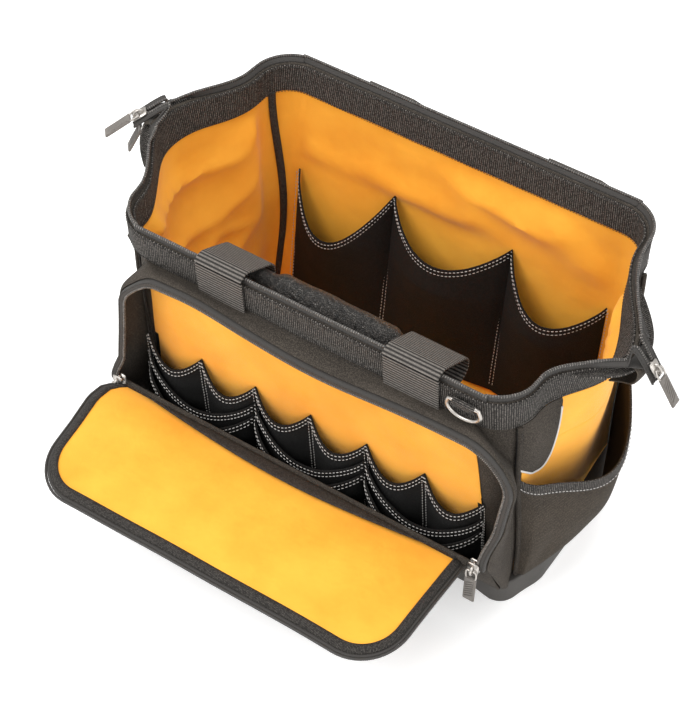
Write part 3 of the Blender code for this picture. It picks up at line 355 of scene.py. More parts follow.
def block(bm, size, place, turn=0.0):
    """A box of this size, turned about Z and then moved to its place."""
    verts = bmesh.ops.create_cube(bm, size=1)["verts"]
    bmesh.ops.scale(bm, vec=size, verts=verts)
    bmesh.ops.rotate(bm, cent=(0, 0, 0), matrix=Matrix.Rotation(turn, 3, "Z"), verts=verts)
    bmesh.ops.translate(bm, vec=place, verts=verts)


def capped(name, rings, look):
    """A body from rings of points, with a flat face over the first and the last."""
    mesh = grid_mesh(name, rings, closed=True)
    ring, total = len(rings[0]), len(mesh.vertices)
    bm = bmesh.new()
    bm.from_mesh(mesh)
    bm.verts.ensure_lookup_table()
    bm.faces.new([bm.verts[k] for k in range(ring)][::-1])
    bm.faces.new([bm.verts[k] for k in range(total - ring, total)])
    return settled(bm, mesh, look)


def smooth_path(points, count):
    """Points at even spacing on a smooth curve through these."""
    points = np.asarray(points, float)
    chord = np.concatenate([[0], np.cumsum(np.sqrt(np.linalg.norm(np.diff(points, axis=0), axis=1)) + 1e-9)])
    fine = np.linspace(0, chord[-1], count * 8)
    slope = np.gradient(points, chord, axis=0)
    k = np.clip(np.searchsorted(chord, fine, "right") - 1, 0, len(points) - 2)
    h = (chord[k + 1] - chord[k])[:, None]
    s = ((fine - chord[k]) / h[:, 0])[:, None]
    curve = (2 * s**3 - 3 * s**2 + 1) * points[k] + (s**3 - 2 * s**2 + s) * h * slope[k]
    curve += (-2 * s**3 + 3 * s**2) * points[k + 1] + (s**3 - s**2) * h * slope[k + 1]
    length = np.concatenate([[0], np.cumsum(np.linalg.norm(np.diff(curve[:, :3], axis=0), axis=1))])
    even = np.linspace(0, length[-1], count)
    return np.stack([np.interp(even, length, curve[:, c]) for c in range(curve.shape[1])], axis=1)


def tube_mesh(name, points, radius, look, sides=8, closed=False):
    """A round rod along points, with closed ends."""
    curve = bpy.data.curves.new(name, "CURVE")
    curve.dimensions = "3D"
    curve.bevel_depth, curve.bevel_resolution, curve.use_fill_caps = radius, sides // 2 - 2, True
    spline = curve.splines.new("POLY")
    spline.points.add(len(points) - 1)
    for target, point in zip(spline.points, points):
        target.co = (*point, 1)
    spline.use_cyclic_u = closed
    curve.materials.append(LOOKS[look])
    mesh = applied(in_scene(name, curve))
    bm = bmesh.new()
    bm.from_mesh(mesh)
    bmesh.ops.remove_doubles(bm, verts=bm.verts, dist=1e-6)
    return settled(bm, mesh)


# ---- Repeats along a path, with Geometry Nodes ----
def repeat_tree():
    """Small rounded beads at a pitch along a curve, each lying along it."""
    tree = bpy.data.node_groups.new("beads_on_path", "GeometryNodeTree")
    face = tree.interface
    for name, kind, way in (
        ("Path", "NodeSocketGeometry", "INPUT"),
        ("Pitch", "NodeSocketFloat", "INPUT"),
        ("Bead size", "NodeSocketVector", "INPUT"),
        ("Finish", "NodeSocketMaterial", "INPUT"),
        ("Beads", "NodeSocketGeometry", "OUTPUT"),
    ):
        face.new_socket(name=name, in_out=way, socket_type=kind)

    def add(kind, settings=None, **inputs):
        node = tree.nodes.new(kind)
        for key, value in (settings or {}).items():
            setattr(node, key, value)
        for key, value in inputs.items():
            target = node.inputs[key.replace("_", " ")]
            if isinstance(value, bpy.types.NodeSocket):
                tree.links.new(value, target)
            else:
                target.default_value = value
        return node

    given = add("NodeGroupInput").outputs
    points = add("GeometryNodeCurveToPoints", {"mode": "LENGTH"}, Curve=given["Path"], Length=given["Pitch"])
    bead = add("GeometryNodeMeshUVSphere", None, Segments=6, Rings=4, Radius=0.5)
    shaped = add("GeometryNodeTransform", None, Geometry=bead.outputs["Mesh"], Scale=given["Bead size"])
    aim = add("FunctionNodeAlignRotationToVector", {"axis": "Z"}, Vector=points.outputs["Tangent"])
    placed = add(
        "GeometryNodeInstanceOnPoints",
        None,
        Points=points.outputs["Points"],
        Instance=shaped.outputs["Geometry"],
        Rotation=aim.outputs["Rotation"],
    )
    real = add("GeometryNodeRealizeInstances", None, Geometry=placed.outputs["Instances"])
    finished = add("GeometryNodeSetMaterial", None, Geometry=real.outputs["Geometry"], Material=given["Finish"])
    tree.links.new(finished.outputs["Geometry"], add("NodeGroupOutput").inputs["Beads"])
    return tree


BEADS = repeat_tree()


def beads(name, paths, pitch, size, look):
    """One mesh of beads along all these paths."""
    curve = bpy.data.curves.new(name, "CURVE")
    curve.dimensions = "3D"
    for path in paths:
        spline = curve.splines.new("POLY")
        spline.points.add(len(path) - 1)
        spline.points.foreach_set("co", np.column_stack([path, np.ones(len(path))]).ravel())
    obj = in_scene(name, curve)
    modifier = obj.modifiers.new("beads", "NODES")
    modifier.node_group = BEADS
    sockets = {item.name: item.identifier for item in BEADS.interface.items_tree if item.item_type == "SOCKET"}
    modifier[sockets["Pitch"]] = pitch
    modifier[sockets["Bead size"]] = size
    modifier[sockets["Finish"]] = LOOKS[look]
    mesh = applied(obj)
    mesh.shade_smooth()
    return mesh


def stitches(name, paths):
    return beads(name, paths, 0.0040, (0.0009, 0.0009, 0.0028), "thread")


def dark_stitches(name, paths):
    return beads(name, paths, 0.0032, (0.0007, 0.0007, 0.0025), "binding")


def coil(name, core, radius, pitch, thick, look):
    """The rod and the teeth of a zip's coil along one line."""
    across = 0.0032 if look == "coil" else 0.0031
    # Where the teeth are light they are painted glints, and the dark rod between them is painted shade.
    return tube_mesh(name, core, radius, "board", 6), beads(name, [core], pitch, (across, across, thick), look)


# ---- The body's outline ----
def lerp(low, high, share):
    return low + (high - low) * share


def half_length(t):
    return 0.207 + 0.005 * t


def half_depth(t, side=-1):
    return 0.104 + np.where(np.asarray(side) > 0, 0.044, 0.015) * t


def corner(t):
    return lerp(0.012, 0.040, t)


def edge_z(y_share):
    return MOUTH_Z + BACK_RISE * y_share


def level(z, sy=-1):
    return z / edge_z(sy)


HEM_T = 1 - HEM / MOUTH_Z
# Where the front seam lies round the corner of an end wall, whose plain part runs from -1 to 1
FRONT_SEAM = -1.25


def end_x(t, share, sx, out=0.0):
    """How far an end wall reaches, its hem leaning out towards the end of the zip."""
    swell = np.cos(share * math.pi / 2) ** 2
    flare = TIP_FLARE[sx] * np.maximum(t - HEM_T, 0) / (1 - HEM_T)
    return half_length(t) + out + END_BULGE * t * swell + flare * swell**2


def end_z(share, sx):
    return edge_z(share) - END_DROP[sx] * np.cos(share * math.pi / 2) ** 2


def fade(value, low, high):
    share = np.clip((value - low) / (high - low), 0, 1)
    return share * share * (3 - 2 * share)


def slack(t, share):
    """How far the soft back edge sinks below its plain form."""
    return 0.005 * fade(t, 0.55, 1) * fade(share, 0.2, 1)


def noise_at(points, size, seed=0, stretch=(1, 1, 1)):
    """Smooth noise from -1 to 1 at each point, the same each run."""
    points = np.asarray(points, float)
    flat = (points.reshape(-1, 3) / size * np.asarray(stretch)) + seed * 7.31
    values = [noise.noise(Vector(p)) for p in flat]
    return np.array(values).reshape(points.shape[:-1])


def free(z):
    """Where the cloth of the walls can move, between the tray and the mouth."""
    return fade(z, 0.03, 0.08) * (1 - fade(z, 0.23, 0.262))


def pulled(x):
    """How far the front left corner is drawn in."""
    return 0.006 * fade(-x, 0.15, 0.2)


def relief(points):
    """How far the slack cloth of the walls stands out from the plain form, alike in all its layers."""
    waves = 0.0030 * noise_at(points, 0.11, 1, (1, 1, 0.6)) + 0.0012 * noise_at(points, 0.045, 2)
    return free(points[..., 2]) * (waves - pulled(points[..., 0]) * fade(-points[..., 1], 0.03, 0.09))


def long_base(t, sy):
    """The front (-1) or back wall at one level, from left to right, as points and outward directions."""
    a, b, r = half_length(t), half_depth(t, sy), corner(t)
    angle = np.linspace(math.pi / 2, 0, 11)
    turn = np.stack([np.sin(angle), np.cos(angle)], axis=1)
    left = [-(a - r), b - r] + r * turn * [-1, 1]
    right = ([a - r, b - r] + r * turn)[::-1]
    x = np.linspace(-(a - r), a - r, 65)[1:-1]
    flat = np.concatenate([left, np.stack([x, np.full(len(x), b)], axis=1), right])
    aim = np.concatenate([turn * [-1, 1], np.tile([0.0, 1.0], (len(x), 1)), turn[::-1]])
    points = xyz(flat[:, 0], flat[:, 1] * sy, t * edge_z(sy) - slack(t, sy))
    return points, xyz(aim[:, 0], aim[:, 1] * sy, 0)


def end_base(t, sx, cols=48):
    """An end wall at one level, from the front to the back, as points and outward directions."""
    share = np.linspace(-1, 1, cols + 1)
    y = share * (half_depth(t, share) - corner(t))
    points = xyz(sx * end_x(t, share, sx), y, t * end_z(share, sx) - slack(t, share))
    return points, np.tile([float(sx), 0.0, 0.0], (cols + 1, 1))


def seam_angle(t):
    """Where the seam between front and end runs round the front corner, from the front wall."""
    return lerp(math.radians(88), math.radians(58), fade(t, 0.08, 0.75))


def end_wrap(t, place, sx, out=0.0):
    """Points of an end wall, where a place below -1 follows the front corner round to its seam."""
    t, share, r = t + 0 * place, np.maximum(place, -1), corner(t)
    phi = math.pi / 2 + np.minimum(place + 1, 0) / (-1 - FRONT_SEAM) * (math.pi / 2 - seam_angle(t))
    x, y = end_x(t, share, sx), share * (half_depth(t, share) - r)
    x = np.where(place < -1, half_length(t) - r + r * np.sin(phi), x)
    y = np.where(place < -1, r - half_depth(t) - r * np.cos(phi), y)
    points = xyz(sx * x, y, t * end_z(share, sx) - slack(t, share))
    aim = xyz(sx * np.sin(phi), -np.cos(phi), 0)
    return points + aim * (out + relief(points))[..., None]


def whole_base(t):
    """The whole outline at one level, counter-clockwise from the front left corner."""
    front, back = long_base(t, -1), long_base(t, 1)
    right, left = end_base(t, 1), end_base(t, -1)
    return tuple(np.concatenate([front[k], right[k][1:], back[k][::-1][1:], left[k][::-1][1:-1]]) for k in (0, 1))


def stood_off(base, out):
    """A line of the outline moved out along its directions, with the relief of the walls."""
    points, aim = base
    return points + aim * np.broadcast_to(out + relief(points), len(points))[:, None]


def whole_run(t, out):
    return stood_off(whole_base(t), out)


def levels(low, high, count):
    return np.linspace(low, high, count + 1)


# ---- Tray, shell and lining ----
def tray_run(t, out):
    """The tray swells into a broad lobe at each end."""
    points = whole_run(t, out)
    x, y = abs(points[:, 0]), abs(points[:, 1])
    lobe = (0.013 * (1 - fade(y, 0.060, 0.106)) + 0.002) * fade(x, 0.197, 0.206)
    points[:, 0] += np.sign(points[:, 0]) * lobe
    points[:, 1] += np.sign(points[:, 1]) * 0.004 * fade(x, 0.17, 0.2) * fade(y, 0.08, 0.1)
    return points


def tray():
    out, skin = 0.0006, 0.0025
    rows = [
        tray_run(level(0.005 * (1 - math.sin(a))), out + skin - 0.005 * (1 - math.cos(a - math.pi / 2)))
        for a in np.linspace(0, math.pi / 2, 6)
    ]
    low = rows[0] * [0.97, 0.97, 0]
    rim = [tray_run(level(z), out + skin * k) for z, k in ((0.0262, 1), (0.0278, 0.7), (0.0282, 0.2))]
    rim.append(whole_run(level(0.0272), out))
    inner = [whole_run(level(0.0030), out)]
    mesh = capped("tray", [low] + rows + rim + inner, "rubber")
    mesh.set_sharp_from_angle(angle=math.radians(50))
    hand_over("tray_moulding", mesh, "bag", ["base_tray"])


def shell():
    foot = level(0.003)
    for name, sy in FACES:
        grid = [stood_off(long_base(t, sy), 0) for t in levels(foot, 1, 40)]
        mesh = cloth(f"{name}_shell", grid, SHELL, "shell", -sy)
        hand_over(f"{name}_shell", mesh, "bag", [f"{name}_panel"])
    for name, sx in SIDES:
        grid = [stood_off(end_base(t, sx), 0) for t in levels(foot, 1, 40)]
        mesh = cloth(f"{name}_shell", grid, SHELL, "shell", sx)
        place = np.linspace(-0.85, 0.93, 41)
        sheet = [end_wrap(t, place, sx, 0.0012) for t in levels(level(0.190), HEM_T - 0.004, 14)]
        mesh = joined("shell", mesh, cloth(f"{name}_upper_lining", sheet, THIN, "lining", sx))
        hand_over(f"{name}_shell", mesh, "bag", [f"{name}_end_panel"])


def lining_folds(points):
    """Loose folds of the lining, which only stand inwards."""
    z = points[..., 2]
    x, y, t = abs(points[..., 0]), abs(points[..., 1]), z / MOUTH_Z
    long_gap, deep_gap = half_length(t) - corner(t) - x, half_depth(t, points[..., 1]) - corner(t) - y
    hold = fade(z, 0.015, 0.06) * (1 - fade(z, 0.235, 0.258)) * fade(np.maximum(long_gap, deep_gap), 0.0, 0.02)
    hold = hold * np.where((deep_gap < -0.01) & (points[..., 1] > 0), fade(z, 0.18, 0.21), 1)
    turned = xyz(points[..., 0] * 0.55 + z * 1.1, points[..., 1] * 0.8, z * 0.5 - points[..., 0] * 0.2)
    long_folds = 1 - np.abs(noise_at(turned, 0.075, 5)) * 1.6
    small = noise_at(points, 0.05, 6)
    return hold * np.clip(0.0105 * np.clip(long_folds, 0, 1) ** 1.8 + 0.0028 * small, 0, 0.013)


def lining():
    rows = []
    low = level(0.0061)
    for t in levels(low, 1, 60):
        base = whole_run(t, -0.0033)
        rows.append(whole_run(t, -0.0040 - lining_folds(base)))
    floor = [rows[0] * [s, s, 1] for s in (0.02, 0.25, 0.5, 0.75, 0.96)]
    for row in floor:
        row[:, 2] = 0.0072 + 0.0006 * noise_at(row, 0.05, 9)
    whole = floor + rows
    lower = cloth("lining_cloth", whole[:-6], THIN, "lining", -1, closed=True)
    top = cloth("lining_top", whole[-7:], THIN, "shell", -1, closed=True)
    hand_over("lining_cloth", joined("lining", lower, top), "bag", ["lining"])


def hems():
    """The webbing round the mouth, outside and inside."""
    for name, out, order in (("outer", WEB + GAP, 1), ("inner", -0.0062, -1)):
        back = fade(whole_run(1, 0)[:, 1:2] / half_depth(1, 1), 0.3, 1) * (0.014 if order < 0 else 0)
        rows = []
        for s in np.linspace(0, 1, 9):
            t = lerp(HEM_T, 1, s)
            ripple = out + 0.0006 * noise_at(whole_run(t, 0), 0.03, 3) * (1 - s)
            rows.append(whole_run(t, ripple) + (1 - s) * back * [0, 0, MOUTH_Z])
        mesh = cloth(f"{name}_hem", rows, WEB, "web", order, closed=True)
        runs = [whole_run(lerp(HEM_T, 1, share), out + 0.0003 * order) for share in (0.10, 0.93)]
        seams = dark_stitches("hem_seams", [np.concatenate([run, run[:1]]) for run in runs])
        hand_over(f"{name}_hem", joined("hem", mesh, seams), "bag", [f"mouth_band_{name}"])


def corner_trim():
    """Binding over the lining's corner seams, and piping in the shell's corner seams."""
    half, across = 0.0048, np.linspace(-1, 1, 7)
    for side, sx in SIDES:
        for face, sy in FACES:
            rows = []
            for t in levels(level(0.0085), HEM_T + 0.004, 30):
                a, b, r = half_length(t), half_depth(t, sy), corner(t)
                angle = lerp(math.radians(14), math.radians(64), fade(t, 0.25, 0.9)) + across * half / r
                reach = r - half - 0.0035 * (1 - across**2)
                x, y = sx * (a - r + reach * np.sin(angle)), sy * (b - r + reach * np.cos(angle))
                rows.append(xyz(x, y, t * edge_z(sy)))
            mesh = cloth("corner_binding", rows, 0.0012, "binding", sx * sy, turn_uv=True)
            hand_over(f"{face}_{side}_binding_tape", mesh, "bag", [f"{face}_{side}_corner_binding"])
            place = FRONT_SEAM if sy < 0 else 0.999
            seam = levels(level(0.029), HEM_T - 0.001, 40)
            # The two thin dark rods beside each piping cord are painted shade in the seam's grooves.
            rod, *seam_shade_lines = (
                [end_wrap(t, np.array([place + shift]), sx, 0.0036)[0] for t in seam] for shift in (0, -0.028, 0.028)
            )
            rod = tube_mesh("piping", rod, 0.0026, "shell")
            seam_shade_lines = [tube_mesh("groove", line, 0.0005, "hem", 6) for line in seam_shade_lines]
            mesh = joined("piping", rod, *seam_shade_lines)
            hand_over(f"{face}_{side}_piping_cord", mesh, "bag", [f"{face}_{side}_piping"])


# ---- The mouth zip ----
TIP_DROOP = {"left": math.radians(34), "right": math.radians(58)}
TIP_YAW = {"left": math.radians(42), "right": 0.0}
TIP_REACH = {-1: 0.010, 1: 0.014}


def tip_frame(side):
    """Where the mouth zip's slider starts at this end, and its length, width and crown directions."""
    sx = dict(SIDES)[side]
    droop, yaw = TIP_DROOP[side], TIP_YAW[side]
    root = Vector((sx * float(end_x(1, 0, sx) + TIP_REACH[sx]), 0, float(end_z(0, sx)) + 0.0025))
    flat = Vector((sx * math.cos(yaw), -math.sin(yaw), 0))
    along = flat * math.cos(droop) - Vector((0, 0, math.sin(droop)))
    width = Vector((-flat.y * sx, flat.x * sx, 0))
    crown = along.cross(width) * -sx
    return root, along, width, -crown if crown.z < 0 else crown


def zip_arm(side, sy):
    """Stations from the corner of the mouth to the end of the zip, as (place, across, up)."""
    sx = dict(SIDES)[side]
    root, along, width, crown = tip_frame(side)
    r = corner(1)
    middle = Vector((sx * (half_length(1) - r), sy * (half_depth(1, sy) - r), edge_z(sy) - slack(1, sy)))
    lean, stations = Vector((0, 0, 1)), []
    for angle in np.linspace(0, math.pi / 2, 7):
        out = Vector((sx * math.sin(angle), sy * math.cos(angle), 0))
        stations.append((middle + out * (r - SHELL / 2), out, lean))
    rim = [Vector(p) - Vector((sx * SHELL / 2, 0, 0)) for p in end_base(1, sx, 16)[0][::-sy]]
    for k in range(1, 5):
        across = (rim[k + 1] - rim[k - 1]).cross(lean).normalized()
        stations.append((rim[k] + lean * GAP, across * math.copysign(1, across.x * sx), lean))
    start, base = stations[-1][0], 0.0083 + 0.0017
    entry = root + width * (sy * base)
    end = root + along * 0.019 + width * (sy * base)
    arm = (entry - start).normalized()
    inward = lean.cross(arm)
    inward *= math.copysign(1, inward.dot(-start))
    for share in (0.35, 0.7):
        up = (lean * (1 - share) + inward * share).normalized()
        across = up.cross(arm).normalized()
        across *= math.copysign(1, across.dot(stations[0][1]))
        stations.append((start.lerp(entry, share) + lean * GAP, across, up))
    for place in (entry + along * 0.0015, end):
        stations.append((place, crown, width * -sy))
    return stations


def zip_line(sy):
    """The mouth zip's foot line from tip to tip, as rows of place, across and up."""
    left, right = zip_arm("left", sy), zip_arm("right", sy)
    span = half_length(1) - corner(1)
    y, z = sy * (half_depth(1, sy) - SHELL / 2), edge_z(sy) - slack(1, sy)
    middle = [((x, y, z), (0, sy, 0), (0, 0, 1)) for x in np.linspace(-span, span, 12)[1:-1]]
    rows = [[*p, *c, *u] for p, c, u in left[::-1] + middle + right]
    line = smooth_path(rows, 420)
    for k in (3, 6):
        line[:, k : k + 3] /= np.linalg.norm(line[:, k : k + 3], axis=1)[:, None]
    return line[:, :3], line[:, 3:6], line[:, 6:9]


def tape_and_coil(name, place, across, up, sy):
    """A zip tape with its coil on the free edge."""
    neck, thick = 0.0055, 0.0012
    wave = 0.0005 * noise_at(place, 0.03, 4)[:, None]
    grid = [place + up * h + across * (thick / 2 + wave * h / neck) for h in np.linspace(0, neck, 5)]
    tape = cloth(name, grid, thick, "tape", -sy, round_edge=False)
    core = place + up * (neck + 0.0013) + across * wave
    seams = [place + up * 0.0010 + across * (s * (thick / 2 + 0.0002)) for s in (-1, 1)]
    return joined(name, tape, *coil(name, core, 0.0014, 0.0023, 0.0009, "coil"), dark_stitches(name, seams))


def mouth_zip():
    for name, sy in FACES:
        place, across, up = zip_line(sy)
        if sy > 0:
            lean = 0.7 * (1 - fade(abs(place[:, 0]), 0.20, 0.245))[:, None]
            up = up + across * lean
            up /= np.linalg.norm(up, axis=1)[:, None]
            across = across - up * np.sum(across * up, axis=1)[:, None]
            across /= np.linalg.norm(across, axis=1)[:, None]
        mesh = tape_and_coil(f"{name}_zip", place, across, up, sy)
        hand_over(f"{name}_zip", mesh, "bag", [f"{name}_zip_tape"])


def end_tabs():
    """Webbing that closes the mouth between hem and zip, with the tail under each slider."""
    reach, bow = 0.62, np.linspace(-1, 1, 13)
    for side, sx in SIDES:
        root = np.array(tip_frame(side)[0])
        share = np.linspace(-reach, reach, 25)
        y = share * (half_depth(1, share) - corner(1))
        x0, z0 = end_x(1, share, sx, 0.0022), end_z(share, sx) - 0.003
        peak = 1 - np.abs(share) / reach
        x1 = lerp(x0 + 0.002, abs(root[0]) - 0.004, peak)
        z1 = lerp(z0, root[2] - 0.003, peak)
        rows = []
        for s in np.linspace(0, 1, 9):
            sag = -0.0025 * math.sin(math.pi * s) * peak
            rows.append(xyz(sx * lerp(x0, x1, s), y, lerp(z0, z1, s) + sag))
        strip = cloth(f"{side}_strip", rows, WEB, "web", -sx)
        tip, top = abs(root[0]), root[2] - 0.004
        line = ((tip - 0.012, top + 0.0010), (tip - 0.002, top - 0.001), (tip - 0.001, top - 0.009))
        line += ((tip - 0.006, top - 0.020), (float(end_x(0.88, 0, sx, 0.0035)), top - 0.034))
        path = smooth_path([(sx * x, 0, z) for x, z in line], 26)
        rows = []
        for k, p in enumerate(path):
            s = k / (len(path) - 1)
            half = 0.0115 + 0.0035 * math.sin(math.pi * min(s * 1.4, 1)) - 0.003 * s
            rows.append(xyz(p[0] - sx * 0.0020 * bow**2, p[1] + half * bow, p[2]))
        tail = cloth(f"{side}_tail", rows, 0.002, "shell", -sx, offset=0, levels=1)
        # a small sheet closes the last gap between the two halves of the zip
        front, back = ([np.array(place) for place, _, _ in zip_arm(side, sy)[-3:-1]] for sy in (-1, 1))
        rows = [
            [a + (b - a) * share - np.array((0, 0, 0.0008)) for share in np.linspace(0.03, 0.97, 7)]
            for a, b in zip(front, back)
        ]
        closing = cloth(f"{side}_closing", rows, 0.0010, "tape", offset=0)
        mesh = joined("tab", strip, tail, closing)
        hand_over(f"{side}_tab_cloth", mesh, "bag", [f"{side}_end_tab"])


# ---- Front pocket ----
POCKET_TOP = HEM_T * edge_z(-1) - 0.0019
POCKET_HALF, POCKET_R = 0.209, 0.045


def front_y(z):
    return -half_depth(level(z))


def rim_y(z):
    z = np.asarray(z, float)
    low = lerp(0.009, 0.040, (z - POCKET_FOOT) / (HINGE_Z - POCKET_FOOT))
    high = lerp(0.040, 0.020, (z - HINGE_Z) / (POCKET_TOP - HINGE_Z))
    return front_y(z) - np.where(z < HINGE_Z, low, high)


def arch(start):
    """The pocket's rim line from the right foot over the top to the left foot, as x, z and outward angle."""
    side_top, corner_x = POCKET_TOP - POCKET_R, POCKET_HALF - POCKET_R
    half = [(POCKET_HALF, z, 0.0) for z in np.linspace(start, side_top, 40)[:-1]]
    for angle in np.linspace(0, math.pi / 2, 17):
        half.append((corner_x + POCKET_R * math.cos(angle), side_top + POCKET_R * math.sin(angle), angle))
    line = [(x, POCKET_TOP, math.pi / 2) for x in np.linspace(corner_x, -corner_x, 61)[1:-1]]
    return np.array(half + line + [(-x, z, math.pi - a) for x, z, a in reversed(half)])


def slumped(points, share=1.0):
    """The soft rim of the pocket leans to the right as it rises, and its top sags in the middle."""
    x, z = points[:, 0], points[:, 2]
    hump = 0.004 * np.exp(-(((x + 0.12) / 0.04) ** 2)) - 0.009 * fade(-x, 0.165, 0.205)
    hump = hump - 0.010 * np.exp(-(((x - 0.01) / 0.08) ** 2))
    lean = 0.010 * fade(z, 0.12, 0.25) + 0.010 * fade(x, 0.1, 0.2) * fade(z, 0.10, 0.16) * (1 - fade(z, 0.2, 0.25))
    lean = lean + 0.010 * fade(-x, 0.1, 0.2) * fade(z, 0.100, 0.135) * (1 - 0.5 * fade(z, 0.15, 0.25))
    return points + xyz(lean, 0, hump * fade(z, 0.20, 0.245)) * share


def pocket_gusset():
    """The soft wall between the shell and the rim of the pocket."""
    x, z, angle = arch(POCKET_FOOT).T
    t = level(z)
    a, r, b = half_length(t), corner(t), half_depth(t)
    phi = (seam_angle(t) - 0.0052 / r) * (1 - np.abs(np.sin(angle)))
    sx = np.where(x > 0, 1, -1)
    on_corner = np.abs(x) > POCKET_HALF - POCKET_R
    body_x = np.where(on_corner, sx * (a - r + (r + 0.0009) * np.sin(phi)), x / (POCKET_HALF - POCKET_R) * (a - r))
    body_y = np.where(on_corner, -(b - r + (r + 0.0009) * np.cos(phi)), front_y(z) - 0.0006)
    body_x = body_x + pulled(body_x) * free(z)
    edge = xyz(body_x, body_y, z)
    turn = 0.0035 * np.clip((z - POCKET_FOOT) / (HINGE_Z - POCKET_FOOT), 0, 1)
    lip = xyz(x, rim_y(z) + turn, z)
    normal = xyz(np.cos(angle), 0, np.sin(angle))
    grid = []
    for s in np.linspace(0, 1, 13):
        puff = 0.0035 * math.sin(math.pi * s**2) * (0.4 + 0.6 * np.abs(np.cos(angle)))
        ripple = 0.0012 * noise_at(edge, 0.04, 11) * math.sin(math.pi * s)
        grid.append(slumped(lerp(edge, lip, s) + normal * (CLOTH + puff + ripple)[:, None], s))
    mesh = cloth("pocket_gusset_cloth", grid, CLOTH, "shell")
    seams = [grid[k] + normal * 0.0002 + [0, dy, 0] for k, dy in ((-1, 0.003), (0, -0.003))]
    mesh = joined("gusset", mesh, dark_stitches("gusset_seam", seams))
    hand_over("pocket_gusset_cloth", mesh, "bag", ["pocket_gusset"])


def pocket_zip():
    """The zip's half on the rim. Its tape turns the corner from the gusset into the opening."""
    x, z, angle = arch(HINGE_Z).T
    place = xyz(x, rim_y(z), z)
    inward, normal = -xyz(np.cos(angle), 0, np.sin(angle)), np.array((0, -1, 0))
    rows = [place - normal * lerp(0.0067, 0.0016, s * 2) - inward * 0.0002 for s in np.linspace(0, 0.375, 4)]
    rows += [place + inward * lerp(0.0002, 0.0054, s * 2 - 1) + normal * 0.0007 for s in np.linspace(0.5, 1, 5)]
    tape = cloth("pocket_tape", [slumped(r) for r in rows], 0.0014, "tape", round_edge=False)
    teeth = coil("pocket_coil", slumped(place + inward * 0.0067), 0.0013, 0.0018, 0.0009, "dull")
    seam = dark_stitches("tape_seam", [slumped(place + inward * 0.0018 + normal * 0.0009)])
    mesh = joined("pocket_zip", tape, *teeth, seam)
    hand_over("pocket_zip_cloth", mesh, "bag", ["pocket_zip_tape"])


def pocket_front():
    """The panel under the flap's hinge, whose foot follows the shell's corners."""
    u = np.linspace(-1, 1, 61)
    low = level(POCKET_FOOT)
    r = corner(low)
    reach = np.maximum(np.abs(u * POCKET_HALF * 0.99) - (half_length(low) - r), 0)
    floor_y = front_y(POCKET_FOOT) - 0.0012 + 0.003 + r - np.sqrt(np.maximum(r**2 - reach**2, 0))
    rows = [xyz(u * POCKET_HALF * 0.99, floor_y, POCKET_FOOT)]
    for share in np.linspace(0, 1, 17):
        z = lerp(POCKET_FOOT, HINGE_Z - 0.0028, share)
        turn = 0.007 * (z - POCKET_FOOT) / (HINGE_Z - POCKET_FOOT)
        belly = 0.013 * (1 - u**4) * math.sin(math.pi / 2 * min(share * 2, 1)) * (1 - fade(share, 0.84, 1))
        row = xyz(u * POCKET_HALF, rim_y(z) + turn - 0.0009 - belly - CLOTH, z)
        row[:, 1] -= 0.0016 * noise_at(row, 0.05, 12) * math.sin(math.pi * share)
        rows.append(row)
    mesh = cloth("pocket_lower_cloth", rows, CLOTH, "shell")
    hand_over("pocket_lower_cloth", mesh, "bag", ["pocket_lower_panel"])


def pocket_back():
    """The lining of the pocket's back wall, black at its lower sides."""
    rows = []
    for t in levels(level(POCKET_FOOT), level(POCKET_TOP - 0.002), 24):
        half = half_length(t) - corner(t)
        row = xyz(np.linspace(-half, half, 81), -(half_depth(t) + 0.0013), t * edge_z(-1))
        row[:, 1] -= relief(row) + 0.0022 * np.clip(noise_at(row, 0.05, 13), 0, 1) * fade(row[:, 2], 0.12, 0.16)
        rows.append(row)
    mesh = cloth("pocket_back_cloth", rows, LINING_SKIN, "lining")
    mesh.materials.append(LOOKS["pocket"])
    for face in mesh.polygons:
        if abs(face.center.x) > 0.181 and face.center.z < 0.150:
            face.material_index = 1
    hand_over("pocket_back_cloth", mesh, "bag", ["pocket_lining"])


def loop_grid(seams, bottom, peaks, droops, bulge, power, side, offset, foot, full, steps, rows=22):
    """A strip of cloth sewn to a wall at its seams, bulging forwards into loops with scalloped hems."""
    grid = []
    for i in range(rows + 1):
        row = []
        for k in range(len(seams) - 1):
            for j in range(steps + (k == len(seams) - 2)):
                u = j / steps
                arc = math.sin(math.pi * u) if 0 < u < 1 else 0
                top = lerp(peaks[k], peaks[k + 1], u) - droops[k] * arc**0.85
                z = lerp(bottom, top, i / rows)
                growth = lerp(foot, 1, min((z - bottom) / (full - bottom), 1))
                out = offset + CLOTH + bulge * arc**power * growth
                wall_y = half_depth(level(z, side), side)
                row.append((lerp(seams[k], seams[k + 1], u), side * wall_y - out, z))
        grid.append(row)
    return np.array(grid)


def row_piece(name, node, grid, seams_at):
    """A row of loops with a doubled hem and light stitches along the hem and down the seams."""
    grid = grid - np.array([0, 1, 0]) * (0.0007 * noise_at(grid, 0.02, 21))[..., None]
    body = cloth(name, grid, CLOTH, "pocket")
    top, lift, down = grid[-1], np.array([0, -0.0006, 0]), np.array([0, 0, -1])
    tape = [top + down * drop + lift * 0.8 for drop in (0.0095, 0.006, 0.003, 0.0, -0.0006)]
    tape = cloth(name, tape, 0.0011, "hem")
    paths = [top + down * drop + lift * 1.8 for drop in (0.0022, 0.0072)]
    paths += [grid[2:-1, k] + [dx, -0.0014, 0] for k in seams_at for dx in (-0.0018, 0.0018)]
    mesh = joined(name, body, tape, stitches(name, paths))
    hand_over(name + "_cloth", mesh, "bag", [node])


ROWS = (
    ("organiser_upper_row", 6, 0.142, 0.022, 0.012, 1.0),
    ("organiser_middle_row", 3, 0.120, 0.030, 0.020, 0.6),
    ("organiser_lower_row", 3, 0.104, 0.026, 0.029, 0.6),
)


